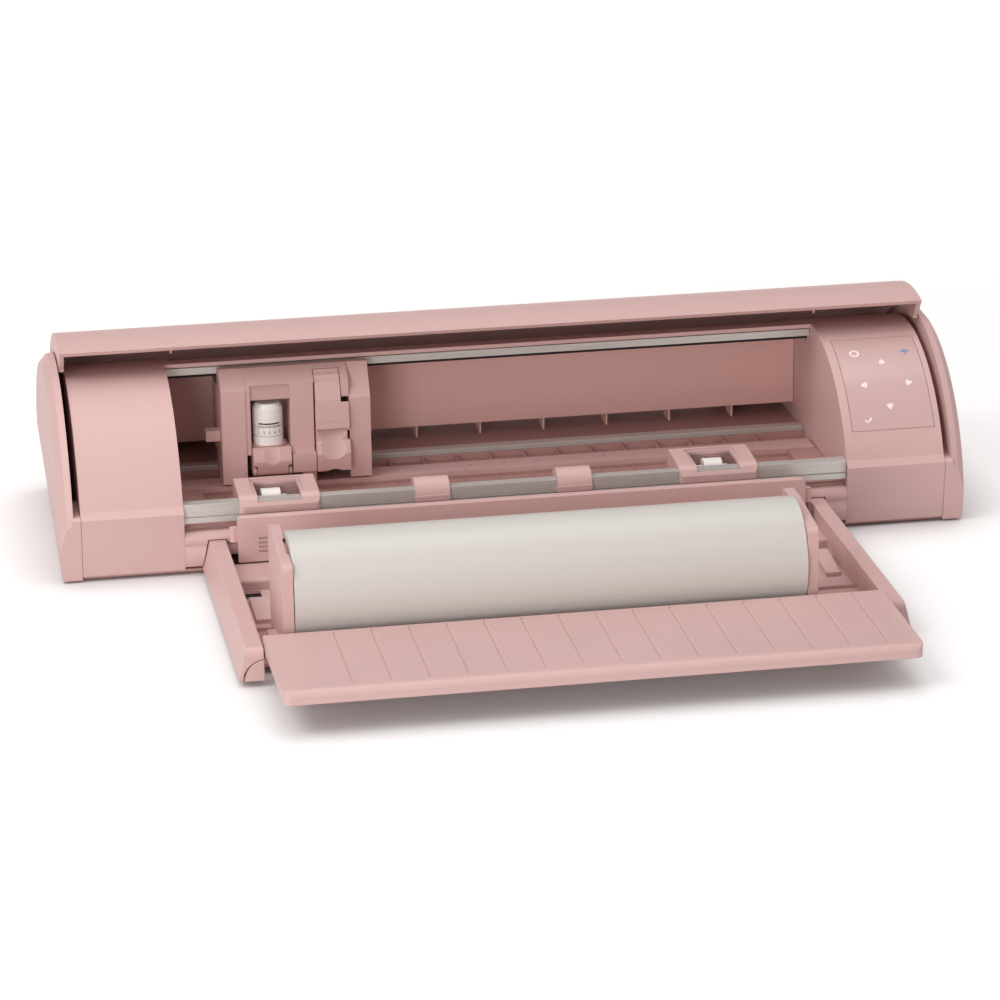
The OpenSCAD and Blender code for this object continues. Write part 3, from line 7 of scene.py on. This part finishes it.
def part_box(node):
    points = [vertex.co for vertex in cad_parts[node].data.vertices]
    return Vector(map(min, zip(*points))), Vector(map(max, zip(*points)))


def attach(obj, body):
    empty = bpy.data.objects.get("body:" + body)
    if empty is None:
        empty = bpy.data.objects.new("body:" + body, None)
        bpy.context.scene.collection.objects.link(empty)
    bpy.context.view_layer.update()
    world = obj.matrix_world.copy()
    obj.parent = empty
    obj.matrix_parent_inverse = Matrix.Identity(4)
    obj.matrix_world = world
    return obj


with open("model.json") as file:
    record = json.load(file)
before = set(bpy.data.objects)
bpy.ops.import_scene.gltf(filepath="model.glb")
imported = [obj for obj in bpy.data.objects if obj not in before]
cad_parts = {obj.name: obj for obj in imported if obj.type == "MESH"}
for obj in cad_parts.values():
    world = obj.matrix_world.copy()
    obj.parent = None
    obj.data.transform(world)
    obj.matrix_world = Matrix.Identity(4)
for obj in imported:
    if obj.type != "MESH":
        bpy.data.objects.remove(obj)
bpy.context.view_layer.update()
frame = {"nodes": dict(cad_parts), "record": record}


def mm(value):
    return value / 1000.0


def srgb(r, g, b):
    """An sRGB colour of 0 to 255 per channel, as a linear colour."""
    out = []
    for c in (r, g, b):
        c /= 255.0
        out.append(c / 12.92 if c <= 0.04045 else ((c + 0.055) / 1.055) ** 2.4)
    return tuple(out) + (1.0,)


def shade(col, k):
    return tuple(min(1.0, c * k) for c in col[:3]) + (1.0,)


# The covers, the touch panel and the pan are parts of cylinders about one axis along X
CURVE_Y, CURVE_Z = mm(-2), mm(6)

# ---------------------------------------------------------------- materials

# Scales of the noise textures, per metre
DRIFT, MOTTLE, LINES, INK, GRAIN = 9.0, 60.0, 60.0, 900.0, 1400.0
# Pointiness at which an edge starts to look worn, and at which it is fully worn
WORN_FROM, WORN_FULL = 0.49, 0.56
BLACK, WHITE = (0, 0, 0, 1), (1, 1, 1, 1)


class Nodes:
    """A small helper that builds one node material."""

    def __init__(self, name):
        self.mat = bpy.data.materials.new(name)
        self.mat.use_nodes = True
        self.tree = self.mat.node_tree
        self.tree.nodes.clear()
        self.out = self.add("ShaderNodeOutputMaterial")
        self.bsdf = self.add("ShaderNodeBsdfPrincipled")
        self.link(self.bsdf, "BSDF", self.out, "Surface")
        self.coord = self.add("ShaderNodeTexCoord")

    def add(self, kind, **values):
        node = self.tree.nodes.new(kind)
        for key, value in values.items():
            setattr(node, key, value)
        return node

    def link(self, a, a_name, b, b_name):
        self.tree.links.new(a.outputs[a_name], b.inputs[b_name])

    def noise(self, scale, detail, rough=0.55, stretch=(1, 1, 1)):
        mapping = self.add("ShaderNodeMapping")
        mapping.inputs["Scale"].default_value = stretch
        self.link(self.coord, "Object", mapping, "Vector")
        tex = self.add("ShaderNodeTexNoise")
        tex.inputs["Scale"].default_value = scale
        tex.inputs["Detail"].default_value = detail
        tex.inputs["Roughness"].default_value = rough
        self.link(mapping, "Vector", tex, "Vector")
        return tex

    def ramp(self, source, socket, *stops):
        """A colour ramp between two stops, each a position and a colour."""
        ramp = self.add("ShaderNodeValToRGB")
        for el, (pos, col) in zip(ramp.color_ramp.elements, stops):
            el.position = pos
            el.color = col
        self.link(source, socket, ramp, "Fac")
        return ramp

    def tint(self, texture, col, low, high):
        """Vary the base colour by a texture, from low to high times col."""
        ramp = self.ramp(texture, "Fac", (0.3, shade(col, low)), (0.7, shade(col, high)))
        self.link(ramp, "Color", self.bsdf, "Base Color")

    def paint(self, share, col):
        """Lay a colour over the base colour, by share."""
        before = self.bsdf.inputs["Base Color"].links[0].from_socket
        mix = self.add("ShaderNodeMixRGB")
        mix.inputs["Color2"].default_value = col
        self.tree.links.new(share, mix.inputs["Fac"])
        self.tree.links.new(before, mix.inputs["Color1"])
        self.link(mix, "Color", self.bsdf, "Base Color")

    def roughen(self, texture, low, high):
        """Vary the roughness by a texture, from low to high."""
        span = self.add("ShaderNodeMapRange")
        span.inputs["To Min"].default_value = low
        span.inputs["To Max"].default_value = high
        self.link(texture, "Fac", span, "Value")
        self.link(span, "Result", self.bsdf, "Roughness")

    def relief(self, texture, strength, distance, edge):
        """Bump the surface by a texture, and round its edges by the radius edge."""
        soft = self.add("ShaderNodeBevel")
        soft.samples = 4
        soft.inputs["Radius"].default_value = edge
        bump = self.add("ShaderNodeBump")
        bump.inputs["Strength"].default_value = strength
        bump.inputs["Distance"].default_value = distance
        self.link(texture, "Fac", bump, "Height")
        self.link(soft, "Normal", bump, "Normal")
        self.link(bump, "Normal", self.bsdf, "Normal")

    def calc(self, kind, a, b=None):
        """The output of a math node; a and b are numbers or sockets."""
        node = self.add("ShaderNodeMath", operation=kind)
        for socket, value in zip(node.inputs, (a, b)):
            if isinstance(value, (int, float)):
                socket.default_value = value
            elif value is not None:
                self.tree.links.new(value, socket)
        return node.outputs[0]

    def split(self, source, socket):
        """The X, Y and Z of a vector."""
        node = self.add("ShaderNodeSeparateXYZ")
        self.link(source, socket, node, 0)
        return node.outputs

    def radius(self, place, y, z):
        """Distance of a split place from an axis along X."""
        dy = self.calc("SUBTRACT", place["Y"], y)
        dz = self.calc("SUBTRACT", place["Z"], z)
        squares = self.calc("ADD", self.calc("MULTIPLY", dy, dy), self.calc("MULTIPLY", dz, dz))
        return self.calc("SQRT", squares)


def moulded(name, col, rough=0.45, grain=0.10, drift=0.035, coat=0.0):
    """The nodes of moulded plastic: fine grain, soft worn edges and a faint colour drift."""
    n = Nodes(name)
    n.tint(n.noise(DRIFT, 3.0), col, 1.0 - drift, 1.0 + drift)
    shape = n.add("ShaderNodeNewGeometry")
    wear = n.ramp(shape, "Pointiness", (WORN_FROM, BLACK), (WORN_FULL, WHITE))
    n.paint(wear.outputs["Color"], shade(col, 1.08))
    n.roughen(n.noise(MOTTLE, 4.0, 0.6), rough - 0.05, rough + 0.07)
    n.relief(n.noise(GRAIN, 2.0, 0.6), grain, mm(0.2), edge=mm(0.6))
    n.bsdf.inputs["Specular IOR Level"].default_value = 0.42
    if coat:
        n.bsdf.inputs["Coat Weight"].default_value = coat
        n.bsdf.inputs["Coat Roughness"].default_value = 0.12
    return n


def plastic(name, col, **look):
    return moulded(name, col, **look).mat


def metal(name, col, rough, metallic=1.0):
    """Drawn or turned metal with fine lines along X."""
    n = Nodes(name)
    lines = n.noise(LINES, 6.0, 0.7, stretch=(1, 40, 40))
    n.tint(lines, col, 0.86, 1.08)
    n.bsdf.inputs["Metallic"].default_value = metallic
    n.roughen(lines, rough - 0.08, rough + 0.12)
    n.relief(lines, 0.08, mm(0.1), edge=mm(0.3))
    return n.mat


def printed(name, col):
    """Ink on plastic: a flat film with a faint mottle."""
    n = Nodes(name)
    n.tint(n.noise(INK, 3.0, 0.6), col, 0.97, 1.02)
    n.bsdf.inputs["Roughness"].default_value = 0.5
    n.bsdf.inputs["Specular IOR Level"].default_value = 0.3
    return n.mat


# The pan behind the opening, on which the lid's shade is painted: its radius, front edge, lower
# edge and half its width
PAN_R, PAN_FRONT, PAN_LOW, PAN_HALF = mm(98), mm(12), mm(45), mm(209)


def with_lid_shade(name, base, lid_shade_colour):
    """Shell plastic with the lid's shade painted as a darker colour on the pan, which the lid
    slides over.
    """
    n = moulded(name, base)
    place = n.split(n.coord, "Object")
    painted_shade_mask = n.calc("LESS_THAN", n.radius(place, CURVE_Y, CURVE_Z), PAN_R)
    for edge in (
        n.calc("GREATER_THAN", place["Y"], PAN_FRONT),
        n.calc("GREATER_THAN", place["Z"], PAN_LOW),
        n.calc("LESS_THAN", n.calc("ABSOLUTE", place["X"]), PAN_HALF),
    ):
        painted_shade_mask = n.calc("MULTIPLY", painted_shade_mask, edge)
    # paint the lid's shade onto the pan as a darker colour
    n.paint(painted_shade_mask, lid_shade_colour)
    return n.mat


FILM_LAYER = mm(0.9)   # pitch of the rings on the roll's ends


def wound_film(name, col, axis_y, axis_z):
    """Film wound on its core: smooth outside, with the layers' edges as rings on both ends."""
    n = moulded(name, col, rough=0.34, grain=0.015, drift=0.012)
    radius = n.radius(n.split(n.coord, "Object"), axis_y, axis_z)
    rings = n.calc("SINE", n.calc("MULTIPLY", radius, 2 * math.pi / FILM_LAYER))
    soft = n.add("ShaderNodeMapRange")
    soft.inputs["From Min"].default_value = -1.0
    soft.inputs["To Min"].default_value = 0.16
    soft.inputs["To Max"].default_value = 0.0
    n.tree.links.new(rings, soft.inputs["Value"])
    # only the end faces, whose normal lies along X, show the layers
    facing = n.split(n.add("ShaderNodeNewGeometry"), "True Normal")
    end = n.calc("GREATER_THAN", n.calc("ABSOLUTE", facing["X"]), 0.7)
    n.paint(n.calc("MULTIPLY", soft.outputs["Result"], end), shade(col, 0.45))
    return n.mat


ROSE = srgb(210, 176, 172)
roll_low, roll_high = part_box("film_roll")

mats = {
    "shell": plastic("rose_shell", ROSE),
    "carriage": plastic("rose_carriage", srgb(206, 170, 165)),
    # a darker copy of the rose plastic for the interior parts, with the interior's shade painted
    # into it
    "inner": plastic("rose_inner_shade", srgb(190, 148, 142), rough=0.55),
    # a lighter, redder copy of the rose plastic for the back wall, painted light against the shade
    # it stands in
    "wall": plastic("rose_wall_lit", srgb(224, 180, 173), rough=0.5),
    # the rear shell, with the lid's shade painted on its pan
    "pan": with_lid_shade("rose_rear_lid_shade", ROSE, srgb(150, 108, 98)),
    "panel": plastic("touch_surface", srgb(205, 173, 169), rough=0.28, grain=0.02, coat=0.3),
    # the rail's own pale aluminium grey, only half metallic so that its diffuse brightness paints
    # in the reflections it would show
    "rail": metal("drawn_aluminium", srgb(214, 213, 208), rough=0.4, metallic=0.45),
    "steel": metal("turned_steel", srgb(150, 150, 152), rough=0.32),
    "rubber": plastic("black_rubber", srgb(34, 33, 33), rough=0.8, grain=0.3),
    "white": plastic("white_plastic", srgb(240, 236, 234), rough=0.34, grain=0.05, drift=0.015),
    "board": plastic("circuit_board", srgb(44, 92, 60), rough=0.4),
    "card": plastic("cardboard", srgb(160, 126, 92), rough=0.85, grain=0.5, drift=0.12),
    "film": wound_film(
        "wound_film", srgb(204, 202, 197),
        (roll_low[1] + roll_high[1]) / 2, (roll_low[2] + roll_high[2]) / 2,
    ),
    "print_light": printed("pale_print", srgb(255, 240, 234)),
    "print_blue": printed("blue_print", srgb(62, 150, 205)),
    "print_dark": printed("dark_print", srgb(40, 36, 38)),
    "print_grey": printed("grey_print", srgb(196, 190, 190)),
}

# Nodes whose look differs from the rest of their slot
own_look = {"back_wall": "wall", "rear_shell": "pan", "carriage_body": "carriage"}
for tool in ("tool_one", "tool_two"):
    own_look[tool + "_holder"] = own_look[tool + "_lever"] = "carriage"

for part in frame["record"]["subparts"]:
    mesh = frame["nodes"][part["node"]].data
    mat = mats[own_look.get(part["node"], part["material_slot"])]
    if not mesh.materials:
        mesh.materials.append(mat)
    for i in range(len(mesh.materials)):
        mesh.materials[i] = mat

# ---------------------------------------------------------------- printed marks
# Thin prints that follow the surface they lie on. An outline is a list of (u, v) in metres, and
# a surface turns (u, v, height) into a place.

PRINT = mm(0.12)   # thickness of a print


def placed(name, mesh, mat):
    mesh.materials.append(mats[mat])
    ob = bpy.data.objects.new(name, mesh)
    bpy.context.collection.objects.link(ob)
    return ob


def piece(name, parts, mat, body):
    """One object of several parts' verts and faces, riding on a body."""
    verts, faces = [], []
    for part_verts, part_faces in parts:
        base = len(verts)
        verts += part_verts
        faces += [tuple(i + base for i in face) for face in part_faces]
    mesh = bpy.data.meshes.new(name)
    mesh.from_pydata([tuple(v) for v in verts], [], faces)
    mesh.update()
    ob = placed(name, mesh, mat)
    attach(ob, body)


def strip_print(rows, surface, closed=False):
    """Verts and faces of a thin closed strip; rows are pairs of (u, v) across its width."""
    verts, faces = [], []
    for a, b in rows:
        verts += [surface(*a, 0.0), surface(*b, 0.0), surface(*b, PRINT), surface(*a, PRINT)]
    n = len(rows)
    for i in range(n if closed else n - 1):
        p, q = 4 * i, 4 * ((i + 1) % n)
        for k in range(4):
            m = (k + 1) % 4
            faces.append((p + k, q + k, q + m, p + m))
    if not closed:
        faces += [(0, 1, 2, 3), (4 * n - 1, 4 * n - 2, 4 * n - 3, 4 * n - 4)]
    return verts, faces


def flat_print(outline, surface):
    """Verts and faces of a thin closed patch with a convex outline."""
    n = len(outline)
    verts = [surface(u, v, 0.0) for u, v in outline] + [surface(u, v, PRINT) for u, v in outline]
    faces = [tuple(reversed(range(n))), tuple(range(n, 2 * n))]
    faces += [(i, (i + 1) % n, n + (i + 1) % n, n + i) for i in range(n)]
    return verts, faces


def around(cu, cv, r, a):
    """The point at radius r and angle a, in radians, round (cu, cv)."""
    return cu + r * math.cos(a), cv + r * math.sin(a)


def ring_rows(cu, cv, r0, r1, a0=0.0, a1=360.0, steps=36):
    """Rows of a ring, or of an arc from a0 to a1 degrees, between the radii r0 and r1."""
    rows = []
    for i in range(steps + (a1 - a0 < 360)):
        a = math.radians(a0 + (a1 - a0) * i / steps)
        rows.append((around(cu, cv, r0, a), around(cu, cv, r1, a)))
    return rows


def soft_triangle(cu, cv, size, turn, corner=0.18, steps=6):
    """A triangle with rounded corners that points along turn, in degrees from +u."""
    out = []
    r = size * corner
    for k in range(3):
        mid = math.radians(turn + 120 * k)
        hub = around(cu, cv, size * 0.62 - 2 * r, mid)
        for i in range(steps + 1):
            out.append(around(*hub, r, mid + math.radians(-60 + 120 * i / steps)))
    return out


def bar_rows(points, width):
    """Rows of a bar of constant width along a bent line."""
    rows = []
    for i, (u, v) in enumerate(points):
        a = points[max(0, i - 1)]
        b = points[min(len(points) - 1, i + 1)]
        du, dv = b[0] - a[0], b[1] - a[1]
        size = math.hypot(du, dv)
        nu, nv = -dv / size * width / 2, du / size * width / 2
        rows.append(((u - nu, v - nv), (u + nu, v + nv)))
    return rows


# The touch panel: part of a cylinder along X
panel_low, panel_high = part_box("touch_panel")
PANEL_R = mm(100.95)
PANEL_TOP = 105.0      # angle of the panel's upper edge round the curve's centre
ARROW = mm(5.2)


def panel_at(across, angle):
    """Panel coordinates of a point: share of the width, and angle round the curve's centre."""
    u = panel_low[0] + across * (panel_high[0] - panel_low[0])
    return u, -PANEL_R * math.radians(angle - PANEL_TOP)


def panel_surface(u, v, h):
    a = math.radians(PANEL_TOP) - v / PANEL_R
    r = PANEL_R + h
    return Vector((u, CURVE_Y + r * math.cos(a), CURVE_Z + r * math.sin(a)))


u, v = panel_at(0.22, 113.7)
ring = strip_print(ring_rows(u, v, mm(1.9), mm(3.2)), panel_surface, closed=True)
piece("panel_ring", [ring], "print_light", "machine")

for name, across, angle, turn in (
    ("panel_up", 0.52, 118.9, 90), ("panel_left", 0.24, 129.0, 180),
    ("panel_right", 0.78, 129.0, 0), ("panel_down", 0.50, 138.1, 270),
):
    arrow = soft_triangle(*panel_at(across, angle), ARROW, turn)
    piece(name, [flat_print(arrow, panel_surface)], "print_light", "machine")

u, v = panel_at(0.21, 143.2)
tick = [(u - mm(2.2), v + mm(0.4)), (u - mm(0.6), v - mm(1.3)), (u + mm(2.3), v + mm(1.7))]
piece("panel_tick", [strip_print(bar_rows(tick, mm(1.2)), panel_surface)], "print_light", "machine")

# the signal sign: a dot with two arcs over it
u, v = panel_at(0.84, 114.2)
v -= mm(1.9)
piece("panel_signal", [
    flat_print([around(u, v, mm(0.65), k * math.pi / 8) for k in range(16)], panel_surface),
    strip_print(ring_rows(u, v, mm(1.5), mm(2.2), 42, 138, 12), panel_surface),
    strip_print(ring_rows(u, v, mm(3.0), mm(3.8), 42, 138, 14), panel_surface),
], "print_blue", "machine")

# The white housing of the first tool: an upright cylinder with a scale round its front
house_low, house_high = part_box("blade_housing")
house_x = (house_low[0] + house_high[0]) / 2
house_y = (house_low[1] + house_high[1]) / 2
house_r = (house_high[0] - house_low[0]) / 2
SINK = mm(0.01)        # how far a print starts below the housing's face
LINE_Z = house_high[2] - mm(12.4)
RING_DROP = mm(8.3)    # the grey ring, the ticks and the numbers, below the scale's line
TICK_DROP = mm(1.2)
DIGIT_DROP = mm(6.6)
DIGIT_STEP = 20.8      # degrees from one number to the next
TICKS_PER_DIGIT = 4


def round_front(degrees):
    """How far round the housing an angle from its front is, in metres."""
    return house_r * math.radians(degrees)


def housing_surface(u, v, h):
    a = u / house_r
    r = house_r + h - SINK
    return Vector((house_x + r * math.sin(a), house_y - r * math.cos(a), v))


def level_line(z, half_deg, width, steps=40):
    """A line round the housing, half_deg degrees to each side of its front."""
    rows = []
    for i in range(steps + 1):
        u = round_front(-half_deg + 2 * half_deg * i / steps)
        rows.append(((u, z - width / 2), (u, z + width / 2)))
    return strip_print(rows, housing_surface)


def tick_mark(i):
    """The tick i places from the front; those at a number are longer."""
    u, half = round_front(DIGIT_STEP / TICKS_PER_DIGIT * i), mm(0.1)
    high = LINE_Z - TICK_DROP
    low = high - (mm(1.2) if i % TICKS_PER_DIGIT else mm(2.0))
    return strip_print([((u - half, z), (u + half, z)) for z in (high, low)], housing_surface)


line = level_line(LINE_Z, 42, width=mm(0.9))
piece("scale_line", [line], "print_dark", "tool_one")
ring = level_line(LINE_Z - RING_DROP, 100, width=mm(0.5), steps=60)
piece("scale_ring", [ring], "print_grey", "tool_one")
piece("scale_ticks", [tick_mark(i) for i in range(-8, 9)], "print_dark", "tool_one")

for i, digit in enumerate("12345"):
    name = "scale_digit_%s" % digit
    curve = bpy.data.curves.new(name, "FONT")
    curve.body = digit
    curve.size = mm(2.6)
    curve.align_x = "CENTER"
    curve.extrude = PRINT / 2
    source = bpy.data.objects.new("digit_source", curve)
    bpy.context.collection.objects.link(source)
    bpy.context.view_layer.update()
    ready = source.evaluated_get(bpy.context.evaluated_depsgraph_get())
    flat = bpy.data.meshes.new_from_object(ready)
    bpy.data.objects.remove(source)
    middle = round_front(DIGIT_STEP * (i - 2))
    for vert in flat.vertices:
        x, y, z = vert.co
        vert.co = housing_surface(middle + x, LINE_Z - DIGIT_DROP + y, z + PRINT / 2)
    flat.name = name
    flat.materials.clear()
    digit_piece = placed(name, flat, "print_dark")
    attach(digit_piece, "tool_one")

# ---------------------------------------------------------------- stage

FLOOR_GREY = 0.72
FLOOR_GLOW = 0.42
CONTACT = 0.05                     # how near the machine the glow fades, painting a contact shadow, in metres
FADE_FROM, FADE_TO = 0.5, 1.7      # where the floor turns white, in metres from the middle
FADE_GAIN = 3.0
SKY_LIGHT = 0.5
LAMPS = (                          # name, place, aim, size, watts, colour
    ("key", (-1.3, -0.7, 1.7), (0.0, -0.1, 0.05), 1.2, 14.5, (1.0, 0.99, 0.98)),
    ("fill", (-0.95, -2.0, 0.42), (-0.05, 0.0, 0.06), 0.8, 13.5, (1.0, 0.98, 0.97)),
    ("top", (0.1, 0.2, 2.0), (0.0, -0.1, 0.0), 1.4, 9.5, (1, 1, 1)),
)


def floor_material():
    """A pale floor that glows for the camera, so that it reads as white away from the machine."""
    n = Nodes("studio_floor")
    n.bsdf.inputs["Base Color"].default_value = (FLOOR_GREY, FLOOR_GREY, FLOOR_GREY, 1)
    n.bsdf.inputs["Roughness"].default_value = 0.9
    n.bsdf.inputs["Specular IOR Level"].default_value = 0.0
    ray = n.add("ShaderNodeLightPath").outputs
    seen = n.calc("MAXIMUM", ray["Is Camera Ray"], ray["Is Glossy Ray"])
    # the glow fades where the machine stands close over the floor, which paints a contact shadow
    # there
    near = n.add("ShaderNodeAmbientOcclusion")
    near.inputs["Distance"].default_value = CONTACT
    near.samples = 8
    open_sky = n.calc("POWER", near.outputs["AO"], 1.6)
    glow_with_contact_shadow = n.calc("MULTIPLY", n.calc("MULTIPLY", seen, FLOOR_GLOW), open_sky)
    # far from the machine the floor turns into the white background
    far = n.add("ShaderNodeVectorMath", operation="LENGTH")
    n.link(n.coord, "Object", far, "Vector")
    fade = n.add("ShaderNodeMapRange", interpolation_type="SMOOTHSTEP")
    fade.inputs["From Min"].default_value = FADE_FROM
    fade.inputs["From Max"].default_value = FADE_TO
    fade.inputs["To Min"].default_value = 1.0
    fade.inputs["To Max"].default_value = FADE_GAIN
    n.link(far, "Value", fade, "Value")
    glow = n.add("ShaderNodeEmission")
    strength = n.calc("MULTIPLY", glow_with_contact_shadow, fade.outputs["Result"])
    n.tree.links.new(strength, glow.inputs["Strength"])
    both = n.add("ShaderNodeAddShader")
    n.link(n.bsdf, "BSDF", both, 0)
    n.link(glow, "Emission", both, 1)
    n.link(both, "Shader", n.out, "Surface")
    return n.mat


bpy.ops.mesh.primitive_plane_add(size=14.0, location=(0, 0, 0))
floor = bpy.context.active_object
floor.name = "studio_floor"
floor.data.materials.append(floor_material())

# The world lights the machine softly, and is plain white to the camera
world = bpy.data.worlds.new("studio")
bpy.context.scene.world = world
world.use_nodes = True
tree = world.node_tree
tree.nodes.clear()
world_out = tree.nodes.new("ShaderNodeOutputWorld")
chosen = tree.nodes.new("ShaderNodeMixShader")
ray = tree.nodes.new("ShaderNodeLightPath")
tree.links.new(ray.outputs["Is Camera Ray"], chosen.inputs["Fac"])
for socket, col, strength in ((1, (1.0, 0.92, 0.905, 1), SKY_LIGHT), (2, WHITE, 1.0)):
    sky = tree.nodes.new("ShaderNodeBackground")
    sky.inputs["Color"].default_value = col
    sky.inputs["Strength"].default_value = strength
    tree.links.new(sky.outputs[0], chosen.inputs[socket])
tree.links.new(chosen.outputs[0], world_out.inputs["Surface"])

for name, place, aim, size, watts, col in LAMPS:
    data = bpy.data.lights.new(name, "AREA")
    data.shape = "DISK"
    data.size = size
    data.energy = watts
    data.color = col
    lamp = bpy.data.objects.new(name, data)
    bpy.context.collection.objects.link(lamp)
    lamp.location = place
    lamp.rotation_euler = (Vector(aim) - Vector(place)).to_track_quat("-Z", "Y").to_euler()

# ---------------------------------------------------------------- camera

CAMERA_PLACE = (mm(-428.14), mm(-2513.51), mm(870.54))
CAMERA_TURN, CAMERA_DOWN, CAMERA_ROLL = 0.1703, 0.3282, -0.014   # radians
SENSOR = 36.0
FOCAL_SHARE = 4.17871              # focal length over the sensor's width

forward = Vector((
    math.sin(CAMERA_TURN) * math.cos(CAMERA_DOWN),
    math.cos(CAMERA_TURN) * math.cos(CAMERA_DOWN),
    -math.sin(CAMERA_DOWN),
))
level_right = forward.cross(Vector((0, 0, 1))).normalized()
level_up = level_right.cross(forward)
right = level_right * math.cos(CAMERA_ROLL) + level_up * math.sin(CAMERA_ROLL)
up = level_up * math.cos(CAMERA_ROLL) - level_right * math.sin(CAMERA_ROLL)
lens = bpy.data.cameras.new("camera")
lens.sensor_width = SENSOR
lens.lens = SENSOR * FOCAL_SHARE
lens.clip_start = 0.05
camera = bpy.data.objects.new("camera", lens)
bpy.context.collection.objects.link(camera)
rows = [(right[i], up[i], -forward[i], CAMERA_PLACE[i]) for i in range(3)]
camera.matrix_world = Matrix((*rows, (0, 0, 0, 1)))
bpy.context.scene.camera = camera
bpy.context.scene.view_settings.view_transform = "Standard"
